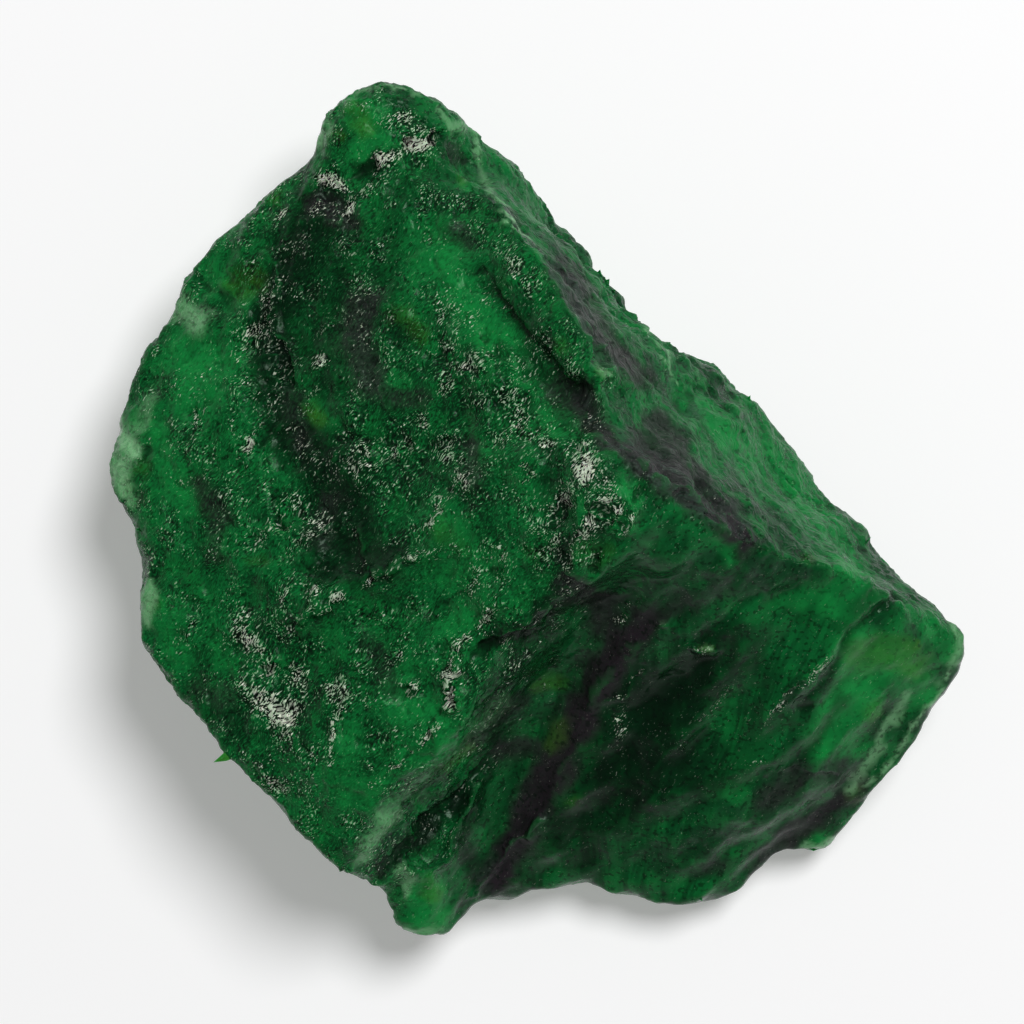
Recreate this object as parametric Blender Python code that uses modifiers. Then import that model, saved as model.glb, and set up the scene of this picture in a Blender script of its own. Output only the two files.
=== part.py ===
"""Raw emerald crystal: one broken lump of green beryl, lying on its flattest break.

The lump is surveyed like a small piece of ground, in millimetres. OUTLINE is its edge seen from
above. Each entry of UPPER_LINES is one crest, fold, gully or rib on its upper side, and each entry
of UNDER_LINES is one on its underside. A net of triangles is drawn through the stations of each
side, and a narrow wall, the broken edge, joins the two nets. The closed net is then remeshed,
worn, roughened and thinned, and it is cut off flat where the lump rests.
"""

import bpy
import bmesh
from mathutils import Vector, noise
from mathutils.geometry import delaunay_2d_cdt

MM = 0.001

# ---- Driving sizes, in millimetres ----
EDGE_WALL = 1.8  # height of the broken edge, between the upper side and the underside
LOW_EDGE_SHARE = 0.6  # where the edge is low, its wall is this share of its height
SEAT_DIP = 0.6  # how far the underside reaches below the table before it is cut off flat
SEAT_BLOCK = (70.0, 70.0, 10.0)  # the block that cuts the lump off flat
GRID = 0.5  # spacing of the even grid that the net is remeshed on
WEAR_ROUNDS = 2  # rounds of smoothing, which wear the edges
TRIANGLES = 8600  # about how many triangles the lump keeps

# ---- Relief of the broken surface, in millimetres ----
RELIEF_ORIGIN = Vector((3.7, 11.2, 5.9))  # the place in the noise where the relief is taken
LUMP_SIZE, LUMP_HEIGHT = 5.0, 0.25  # broad swells and hollows
CHIP_SIZE, CHIP_DEPTH = 3.2, 0.26  # shell-shaped chips with sharp rims between them
LEDGE_SIZE, LEDGE_STEP, LEDGE_RISER = 8.0, 0.13, 0.25  # treads, with risers of a part of a step
RIB_LENGTH, RIB_WIDTH, RIB_HEIGHT = 9.0, 1.6, 0.45  # growth ribs on the lower right face
RIB_RUN = Vector((0.68, 0.73, 0.0)).normalized()  # the way those ribs run, seen from above
RIBBED_CORNER = Vector((5.0, -1.0, 0.0))  # the corner of the ribbed face at the knob
RIBBED_INWARD = (  # the ribbed face lies this way from the gully, and this way from the crest
    Vector((0.88, -0.47, 0.0)),
    Vector((-0.46, -0.89, 0.0)),
)
RIBBED_BORDER = 2.5  # width of the soft border of the ribbed face

EMERALD = {"Base Color": (0.016, 0.130, 0.045, 1.0), "Roughness": 0.28, "Metallic": 0.0}

# ---- Stations (x, y, z), in millimetres ----
OUTLINE = [
    # the blunt top
    (-8.8, 24.1, 11.0), (-6.9, 23.7, 11.2), (-4.9, 22.6, 11.0), (-3.3, 20.8, 9.8),
    # down the right side, at the foot of the steep slope
    (-1.6, 19.6, 7.5), (0.3, 17.6, 6.0), (2.8, 13.7, 5.0), (7.1, 9.2, 4.5), (10.2, 7.5, 4.5),
    (12.7, 6.2, 4.5), (13.6, 4.5, 5.0), (15.2, 2.9, 5.0), (17.4, 0.0, 5.0), (19.4, -1.7, 5.5),
    # the right end
    (21.1, -4.0, 6.5), (24.1, -7.0, 8.2), (24.5, -8.3, 7.8), (23.4, -10.5, 6.6),
    (21.4, -14.0, 5.2), (19.1, -17.0, 4.6),
    # the small lobe, and the foot of the ribbed face
    (16.7, -19.8, 3.2), (15.4, -19.7, 3.3), (14.0, -19.6, 4.0), (11.5, -22.2, 3.9),
    (8.9, -22.9, 3.9), (4.4, -22.2, 4.0), (3.0, -21.8, 4.2), (-0.3, -21.9, 4.0),
    (-1.3, -22.5, 3.8),
    # round the spur
    (-3.4, -22.6, 4.6), (-4.2, -23.5, 5.2), (-5.1, -24.5, 5.6), (-6.7, -24.4, 6.2),
    (-8.3, -22.0, 7.8), (-9.1, -21.0, 10.2), (-10.3, -20.3, 12.0),
    # up the left side, where the plateau runs out to the edge
    (-12.1, -18.8, 12.9), (-13.2, -18.3, 13.0), (-14.7, -16.2, 13.0), (-16.9, -14.0, 12.7),
    (-19.8, -10.8, 11.8), (-21.0, -9.2, 11.4), (-22.1, -7.4, 11.0), (-22.2, -5.4, 10.8),
    (-21.7, -2.8, 10.7), (-22.8, -0.3, 10.2), (-23.9, 0.9, 9.9), (-24.1, 2.4, 9.6),
    (-23.9, 4.7, 9.2), (-22.7, 7.7, 8.9), (-20.1, 13.2, 8.8), (-15.3, 17.7, 9.7),
    (-12.8, 19.8, 10.4), (-11.8, 22.3, 10.6), (-10.6, 23.4, 10.8),
]

UPPER_LINES = {
    # the plateau and its brow, just inside the edge
    "brow": [
        (-8.6, 22.7, 12.3), (-10.6, 21.7, 12.0), (-13.1, 17.8, 11.2), (-17.9, 12.5, 10.2),
        (-19.6, 9.7, 10.2), (-22.1, 4.4, 10.6), (-22.3, 2.1, 10.8), (-20.6, -2.9, 11.5),
        (-20.6, -5.7, 11.8), (-19.7, -8.1, 12.2), (-14.1, -15.3, 13.6), (-10.9, -18.8, 13.4),
    ],
    "top_crease": [(-12.1, 17.2, 11.6), (-7.5, 19.9, 12.6), (-5.3, 20.9, 12.2)],
    "trough": [
        (-11.4, 15.7, 12.2), (-13.6, 8.2, 12.5), (-12.0, 0.5, 13.5), (-10.5, -2.0, 14.3),
    ],
    "swell": [(-5.3, 16.1, 14.4), (-4.4, 13.0, 15.8), (-4.0, 9.7, 16.6), (-1.9, 3.7, 18.6)],
    "fold": [(-5.2, -2.0, 17.7), (-12.8, -5.7, 15.3)],
    "fold_foot": [(-4.6, -3.6, 17.0), (-13.0, -8.1, 14.4)],
    # the raised flap that ends in a point beside the crest
    "flap_edge": [(-3.2, 16.1, 14.9), (-2.3, 14.0, 16.5), (-1.2, 12.0, 17.7), (1.6, 8.0, 19.5)],
    "flap_foot": [(-3.6, 15.4, 14.5), (-2.9, 13.5, 15.5), (-0.6, 9.4, 17.1), (2.3, 6.2, 18.7)],
    # the crest between the plateau and the steep slope, and on to the right end
    "crest_upper": [
        (-3.9, 19.5, 12.2), (-0.9, 15.6, 16.2), (0.5, 13.2, 17.8), (2.9, 9.1, 19.8),
        (3.2, 7.2, 20.2),
    ],
    "crest_lower": [
        (3.7, 5.5, 19.9), (4.9, 3.7, 20.8), (6.2, 1.9, 21.2), (9.7, -0.5, 19.6),
        (12.0, -1.9, 18.2), (16.8, -3.1, 15.2), (19.1, -4.2, 13.0), (22.8, -6.8, 9.0),
    ],
    "knob": [(0.6, 2.5, 20.6), (2.1, 2.0, 21.6), (3.0, 1.0, 22.0), (4.2, 0.0, 22.0),
             (5.1, -0.9, 21.4)],
    "knob_foot": [(-0.3, 2.1, 19.7), (-0.1, -1.2, 19.8), (1.3, -2.2, 20.2)],
    # the steep slope on the right
    "slope_middle": [
        (-1.5, 17.3, 12.8), (4.5, 8.7, 14.6), (6.4, 6.4, 14.9), (8.5, 4.3, 14.8),
        (12.0, 1.1, 13.6), (16.5, -2.0, 12.4),
    ],
    "slope_low": [
        (-2.0, 18.9, 9.5), (4.2, 11.4, 8.6), (7.8, 8.0, 8.8), (11.8, 5.1, 9.3),
        (14.3, 1.3, 9.0), (20.0, -4.0, 8.8),
    ],
    # the plateau's lower rim, the flank under it, and the gully
    "lip": [
        (5.6, -2.0, 20.3), (4.0, -2.8, 20.6), (-0.1, -5.6, 19.2), (-1.5, -7.1, 18.6),
        (-4.1, -11.8, 17.2), (-7.4, -14.4, 16.0), (-8.5, -15.7, 15.4), (-10.2, -18.5, 13.9),
    ],
    "flank_middle": [
        (3.7, -4.2, 17.8), (-0.4, -8.1, 14.6), (-1.5, -10.0, 13.6), (-4.7, -14.3, 12.2),
        (-6.4, -15.9, 11.9), (-9.3, -19.3, 11.8),
    ],
    "flank_foot": [
        (3.5, -5.0, 15.3), (2.5, -6.3, 13.4), (0.8, -8.2, 11.6), (-2.1, -12.8, 9.4),
        (-5.2, -16.6, 8.9), (-8.3, -19.8, 9.8),
    ],
    "gully": [
        (6.7, -3.5, 18.0), (5.4, -4.6, 16.0), (4.1, -6.3, 13.4), (1.5, -10.6, 9.6),
        (-1.2, -15.4, 7.3), (-2.4, -20.6, 5.2),
    ],
    # the spur at the bottom left
    "spur": [(-3.7, -16.2, 9.2), (-4.5, -18.2, 9.4), (-5.3, -20.1, 9.2), (-5.9, -23.2, 7.4)],
    "spur_left": [(-7.1, -20.2, 9.3), (-6.9, -23.1, 7.0)],
    "spur_right": [(-3.2, -18.1, 7.8), (-4.4, -22.3, 6.2)],
    # the ribs and hollows of the lower right face
    "rib_1": [
        (8.9, -2.9, 18.2), (7.4, -4.3, 17.0), (5.8, -6.2, 15.1), (4.3, -8.5, 13.2),
        (1.5, -13.7, 9.9), (-0.3, -19.1, 6.9), (-0.7, -21.0, 5.2),
    ],
    "hollow_1": [
        (10.2, -5.0, 16.3), (7.0, -10.2, 11.7), (4.2, -15.9, 8.4), (2.9, -20.7, 5.2),
    ],
    "rib_2": [(12.8, -4.5, 15.9), (11.3, -7.8, 13.8), (6.0, -17.0, 8.8), (5.0, -19.9, 6.2)],
    "hollow_2": [(14.2, -7.3, 13.6), (8.3, -18.8, 7.0), (7.6, -21.1, 5.2)],
    "rib_3": [(16.4, -7.3, 13.9), (12.1, -13.6, 10.8), (9.8, -19.4, 7.0), (9.4, -21.5, 4.8)],
    "hollow_3": [(18.5, -6.3, 12.4), (14.9, -13.4, 9.6), (13.6, -16.0, 8.2), (11.7, -20.7, 4.4)],
    "end_1": [(20.7, -7.5, 10.6), (17.3, -15.4, 7.2), (15.1, -18.6, 4.4)],
    "end_2": [(22.7, -8.1, 9.0), (21.9, -10.2, 7.8), (18.0, -16.4, 5.6)],
    # small swells on the plateau
    "upper_left": [(-7.5, 16.2, 13.6), (-9.1, 13.7, 13.4), (-8.6, 9.8, 14.4), (-7.4, 1.0, 16.1)],
    "left": [(-15.9, 11.6, 11.7), (-17.5, 3.2, 12.1), (-18.1, -1.8, 12.4)],
    "lower_left": [(-17.2, -6.2, 13.0), (-13.0, -13.0, 14.6), (-10.7, -15.5, 14.9)],
    "lower_middle": [(-3.0, -5.5, 18.3), (-5.8, -6.6, 16.9), (-8.5, -9.9, 16.1)],
}

UNDER_LINES = {
    # the underside bulges between the edge and the seat
    "upper_bulge": [(-3.0, 16.6, 2.2), (-8.5, 17.2, 3.4), (-14.0, 13.4, 3.0)],
    "left_bulge": [(-18.2, 8.5, 2.8), (-20.3, 2.5, 3.2), (-19.3, -4.5, 3.6)],
    "lower_bulge": [(-17.0, -10.0, 4.4), (-12.6, -15.0, 4.6), (-7.5, -19.3, 2.9)],
    "lower_shelf": [(-1.5, -19.6, 1.2), (5.0, -20.4, 0.9), (10.5, -19.9, 1.0)],
    "right_end_shelf": [(17.4, -15.6, 1.5), (20.6, -11.2, 1.8), (21.4, -7.6, 2.2)],
    # two shell-shaped hollows in the break that the lump rests on, and the ground between them
    "large_hollow": [(-9.0, 3.5, 0.7), (-6.2, 7.0, 1.5), (-2.6, 8.4, 0.8)],
    "between_hollows": [(-6.4, -3.6, -0.6), (0.0, 0.0, -0.6), (6.0, 2.6, -0.6)],
    "small_hollow": [(9.6, -12.2, 0.7), (12.4, -9.6, 1.1), (14.2, -6.6, 0.6)],
}

# the break that the lump rests on, seen from above
SEAT = [
    (-5.6, 14.4), (-10.6, 10.8), (-14.0, 5.4), (-14.9, -0.6), (-12.8, -6.8), (-8.6, -12.6),
    (-3.2, -16.6), (3.6, -18.0), (9.4, -17.6), (14.4, -13.8), (17.9, -9.9), (17.6, -5.4),
    (13.0, 0.4), (7.4, 6.2), (2.0, 11.4), (-1.8, 14.4),
]


def clear_scene():
    """Removes every object, so that the scene holds only this lump."""
    for old in list(bpy.data.objects):
        bpy.data.objects.remove(old, do_unlink=True)


def new_collection(name):
    """A collection of this name, in the scene."""
    made = bpy.data.collections.new(name)
    bpy.context.scene.collection.children.link(made)
    return made


def edge_bottom(station):
    """The point at the foot of the broken edge, below a station of the outline."""
    x, y, z = station
    return (x, y, z - min(EDGE_WALL, LOW_EDGE_SHARE * z))


def add_side(bm, outline, lines):
    """Adds a net through the stations inside outline, and returns the outline's vertices.

    Every step from one station of a line to the next is an edge of the net. OUTLINE runs
    clockwise, and a border has to run anticlockwise for the triangles to lie inside it.
    """
    stations = list(outline)
    count = len(outline)
    steps = []
    for line in lines:
        first = len(stations)
        stations.extend(line)
        steps.extend((i, i + 1) for i in range(first, first + len(line) - 1))
    anticlockwise = list(reversed(range(count)))
    every_triangle, closer_is_one, track_sources = 0, 0.001, True
    points, _, faces, station_of, _, border_of = delaunay_2d_cdt(
        [Vector((x, y)) for x, y, _ in stations],
        steps, [anticlockwise], every_triangle, closer_is_one, track_sources,
    )
    verts = [
        bm.verts.new(Vector((point.x, point.y, stations[found[0]][2])) * MM)
        for point, found in zip(points, station_of)
    ]
    for face, border in zip(faces, border_of):
        if border:  # the triangle is inside the outline, not in a notch beside it
            bm.faces.new([verts[i] for i in face])
    vert_of = {found[0]: vert for vert, found in zip(verts, station_of)}
    return [vert_of[i] for i in range(count)]


def surveyed_net():
    """The closed net through all the stations, as a mesh."""
    bm = bmesh.new()
    upper = add_side(bm, OUTLINE, UPPER_LINES.values())
    seat = [(x, y, -SEAT_DIP) for x, y in SEAT]
    seat_ring = seat + seat[:1]
    lower = add_side(
        bm, [edge_bottom(s) for s in OUTLINE], [*UNDER_LINES.values(), seat_ring]
    )
    for i, j in zip(range(len(OUTLINE)), [*range(1, len(OUTLINE)), 0]):
        bm.faces.new((upper[i], upper[j], lower[j], lower[i]))
    bmesh.ops.recalc_face_normals(bm, faces=bm.faces)
    mesh = bpy.data.meshes.new("surveyed_net")
    bm.to_mesh(mesh)
    bm.free()
    return mesh


def with_modifiers(mesh, *recipes):
    """A new mesh: this one after the modifiers, each given as (type, {setting: value})."""
    carrier = bpy.data.objects.new("carrier", mesh)
    bpy.context.scene.collection.objects.link(carrier)
    for kind, settings in recipes:
        modifier = carrier.modifiers.new(kind.lower(), kind)
        for setting, value in settings.items():
            setattr(modifier, setting, value)
    evaluated = carrier.evaluated_get(bpy.context.evaluated_depsgraph_get())
    result = bpy.data.meshes.new_from_object(evaluated)
    bpy.data.objects.remove(carrier)
    return result


def share(value):
    """The value, kept between 0 and 1."""
    return min(max(value, 0.0), 1.0)


def ribbed_share(place, normal):
    """1 on the ribbed lower right face, 0 elsewhere, and between the two on its border."""
    found = share(2.0 * normal.z)
    for inward in RIBBED_INWARD:
        found *= share((place - RIBBED_CORNER).dot(inward) / RIBBED_BORDER)
    return found


def relief(place, normal):
    """How far the broken surface stands out from the worn net at a place, in millimetres."""
    p = place + RELIEF_ORIGIN
    lumps = LUMP_HEIGHT * noise.fractal(p / LUMP_SIZE, 1.0, 2.0, 2)
    chips = CHIP_DEPTH * abs(noise.fractal(p / CHIP_SIZE, 0.9, 2.1, 3))
    level = 4.0 * noise.fractal(p.zxy / LEDGE_SIZE, 1.0, 2.0, 2)
    tread = level // 1.0
    ledges = LEDGE_STEP * (tread + share((level - tread) / LEDGE_RISER))
    ribbed = ribbed_share(place, normal)
    along = p.dot(RIB_RUN)
    drawn_out = (p - along * RIB_RUN) / RIB_WIDTH + along * RIB_RUN / RIB_LENGTH
    ribs = RIB_HEIGHT * noise.noise(drawn_out)
    return lumps - chips + (1.0 - ribbed) * ledges + ribbed * ribs


def roughen(mesh):
    """Moves every vertex along its normal, out or in, by the relief there."""
    normals = [vertex.normal.copy() for vertex in mesh.vertices]
    for vertex, normal in zip(mesh.vertices, normals):
        vertex.co += relief(vertex.co / MM, normal) * MM * normal


def centre(mesh):
    """Moves the mesh sideways until the middle of its bounding box is over the origin."""
    for axis in (0, 1):
        places = [vertex.co[axis] for vertex in mesh.vertices]
        middle = (min(places) + max(places)) / 2
        for vertex in mesh.vertices:
            vertex.co[axis] -= middle


def seat_cutter(collection):
    """The block that cuts the lump off flat: its top is the table that the lump rests on."""
    bpy.ops.mesh.primitive_cube_add(size=1.0)
    block = bpy.context.object
    block.name = "seat_cutter"
    for vertex in block.data.vertices:
        vertex.co = Vector(SEAT_BLOCK) * vertex.co * MM
        vertex.co.z -= SEAT_BLOCK[2] / 2 * MM
    for holder in list(block.users_collection):
        holder.objects.unlink(block)
    collection.objects.link(block)
    block.hide_render = True
    block.display_type = "WIRE"
    return block


def emerald_material():
    """Emerald with an oily gloss, deep green."""
    material = bpy.data.materials.new("emerald")
    material.use_nodes = True
    shader = material.node_tree.nodes["Principled BSDF"]
    for socket, value in EMERALD.items():
        shader.inputs[socket].default_value = value
    return material


def emerald_crystal(collection, cutter):
    """The lump itself, cut off flat by the cutter."""
    worn = with_modifiers(
        surveyed_net(),
        ("REMESH", {"mode": "VOXEL", "voxel_size": GRID * MM}),
        ("SMOOTH", {"factor": 0.5, "iterations": WEAR_ROUNDS}),
    )
    roughen(worn)
    worn.calc_loop_triangles()
    kept = TRIANGLES / len(worn.loop_triangles)
    thinned = with_modifiers(worn, ("DECIMATE", {"ratio": kept}))
    thinned.name = "emerald_crystal"
    centre(thinned)
    crystal = bpy.data.objects.new("emerald_crystal", thinned)
    collection.objects.link(crystal)
    crystal.data.materials.append(emerald_material())
    cut = crystal.modifiers.new("flat_seat", "BOOLEAN")
    cut.operation = "DIFFERENCE"
    cut.solver = "EXACT"
    cut.object = cutter
    return crystal


clear_scene()
parts = new_collection("raw_emerald_crystal")
cutters = new_collection("cutters")
emerald_crystal(parts, seat_cutter(cutters))
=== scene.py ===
# %% [markdown]
# ## A raw emerald, from imported solid to finished stone
# The stone is one broken lump of crystal about 48 mm across and 22 mm high. The imported solid
# already has its outline, its broad faces, its ribs and its crest, in flat facets about 1 mm wide.
# This script dresses that solid: it turns a copy of it into a fine mesh, breaks the surface up
# with Geometry Nodes, stands a few splinters on its edges, and gives it a finish made only from nodes.

# %% The frame comes first
import math

import bmesh
import bpy
import numpy as np
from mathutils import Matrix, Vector, noise


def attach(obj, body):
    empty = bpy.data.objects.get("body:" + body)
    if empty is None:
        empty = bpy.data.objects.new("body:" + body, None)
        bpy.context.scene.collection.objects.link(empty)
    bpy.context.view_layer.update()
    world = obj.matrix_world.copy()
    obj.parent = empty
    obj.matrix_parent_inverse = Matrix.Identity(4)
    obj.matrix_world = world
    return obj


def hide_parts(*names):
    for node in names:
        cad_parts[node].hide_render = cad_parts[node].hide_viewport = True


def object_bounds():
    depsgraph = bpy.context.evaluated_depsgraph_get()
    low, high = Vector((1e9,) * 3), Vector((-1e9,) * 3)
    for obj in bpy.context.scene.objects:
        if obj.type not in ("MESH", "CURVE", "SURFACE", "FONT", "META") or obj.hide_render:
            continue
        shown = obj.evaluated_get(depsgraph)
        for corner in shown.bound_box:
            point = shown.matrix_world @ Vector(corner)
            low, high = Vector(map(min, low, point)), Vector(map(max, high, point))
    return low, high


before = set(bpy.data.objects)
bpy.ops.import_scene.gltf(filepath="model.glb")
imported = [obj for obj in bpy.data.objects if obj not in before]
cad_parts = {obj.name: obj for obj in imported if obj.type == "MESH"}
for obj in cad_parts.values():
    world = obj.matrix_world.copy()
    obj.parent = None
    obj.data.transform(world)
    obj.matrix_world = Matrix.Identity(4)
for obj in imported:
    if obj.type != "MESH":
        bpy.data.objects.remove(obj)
cad_low, cad_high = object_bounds()
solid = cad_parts["emerald_crystal"]
MM = 0.001
print("solid box in mm:", [round(v / MM, 1) for v in (*cad_low, *cad_high)])

# %% [markdown]
# ### The camera
# The stone lies on its flat seat and is looked at from straight above, from about a hand's
# length away. A long lens keeps the tall crest from leaning outwards. The camera is made first,
# so every later cell can be checked from where the stone is really seen.

# %% Camera above the stone
CAMERA_HEIGHT = 249.2 * MM
CAMERA_OFFSET = (-1.47 * MM, 0.03 * MM)
LENS, SENSOR = 150.0, 36.0

lens = bpy.data.cameras.new("overhead_camera")
lens.lens, lens.sensor_width = LENS, SENSOR
lens.clip_start, lens.clip_end = 0.005, 10.0
camera = bpy.data.objects.new("overhead_camera", lens)
camera.location = (*CAMERA_OFFSET, CAMERA_HEIGHT)
bpy.context.scene.collection.objects.link(camera)
bpy.context.scene.camera = camera
print("camera sees", round(CAMERA_HEIGHT / MM * SENSOR / LENS, 1), "mm of the floor")

# %% [markdown]
# ### A fine skin over the solid
# A broken crystal face isn't made of 1 mm triangles, so the facets have to go before the real
# breakage can be put on. Subdividing would keep their edges. A voxel remesh instead makes an
# even, closed skin of small squares, and a few rounds of smoothing wash the facets out of it
# while the ribs and the crest, which are several millimetres long, stay. The work is done in
# millimetres, so that every size below reads as a real one.

# %% Remesh and smooth a copy of the solid
VOXEL = 0.165
SMOOTH_ROUNDS = 6
GIVE_BACK = 1.35
GIVE_BACK_ROUNDS = 14


def finished_mesh(obj, name):
    """What obj's modifiers make, as a mesh of its own."""
    graph = bpy.context.evaluated_depsgraph_get()
    mesh = bpy.data.meshes.new_from_object(obj.evaluated_get(graph))
    mesh.name = name
    return mesh


def replace_mesh(obj, name):
    """Turns obj's modifiers into its plain mesh."""
    mesh = finished_mesh(obj, name)
    obj.modifiers.clear()
    obj.data = mesh


skin = solid.data.copy()
skin.materials.clear()
bm = bmesh.new()
bm.from_mesh(skin)
bmesh.ops.remove_doubles(bm, verts=bm.verts, dist=1e-6)
bmesh.ops.scale(bm, vec=(1 / MM, 1 / MM, 1 / MM), verts=bm.verts)
bm.to_mesh(skin)
bm.free()
stone = bpy.data.objects.new("raw_emerald", skin)
bpy.context.scene.collection.objects.link(stone)

remesh = stone.modifiers.new("even skin", "REMESH")
remesh.mode = "VOXEL"
remesh.voxel_size = VOXEL
replace_mesh(stone, "raw_emerald")
print("skin:", len(stone.data.vertices), "points")

# %% [markdown]
# Smoothing also eats the rim and the crest, because it pulls every edge inwards. So each point
# remembers how far it was pulled, that pull is averaged over its neighbours, which leaves only
# the part that a whole edge has in common, and that part is given back.

# %% Smooth, then give the edges back
def points_of(mesh):
    points = np.empty(len(mesh.vertices) * 3)
    mesh.vertices.foreach_get("co", points)
    return points.reshape(-1, 3)


def averaged(values, pairs, rounds, share):
    """Each row moves by share towards the mean of its neighbours, rounds times."""
    first, second = pairs[:, 0], pairs[:, 1]
    count = len(values)
    neighbours = np.bincount(first, minlength=count) + np.bincount(second, minlength=count)
    for _ in range(rounds):
        total = np.stack(
            [
                np.bincount(first, values[second, axis], count) + np.bincount(second, values[first, axis], count)
                for axis in range(3)
            ],
            axis=1,
        )
        values = values + share * (total / neighbours[:, None] - values)
    return values


pairs = np.empty(len(stone.data.edges) * 2, np.int32)
stone.data.edges.foreach_get("vertices", pairs)
pairs = pairs.reshape(-1, 2)
faceted = points_of(stone.data)
smoothed = averaged(faceted, pairs, SMOOTH_ROUNDS, 0.6)
pulled = averaged(faceted - smoothed, pairs, GIVE_BACK_ROUNDS, 0.6)
skin_points = smoothed + GIVE_BACK * pulled
stone.data.vertices.foreach_set("co", skin_points.ravel())
stone.data.update()
print("mean pull in mm:", round(float(np.linalg.norm(faceted - smoothed, axis=1).mean()), 3))

# %% [markdown]
# ### Forms that are larger than the breakage
# A few ledges, ridges, cracks and lumps give this stone its character, and noise would never put
# them in the right place. Each one is a line of points in millimetres seen from above, with a
# reach and a height. A step lifts the ground on the left of its line and sinks the ground on the
# right; a ridge lifts a strip along its line; a groove sinks one. The lines are bent a little by
# noise, so that they read as breaks and not as pencil strokes.

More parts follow.
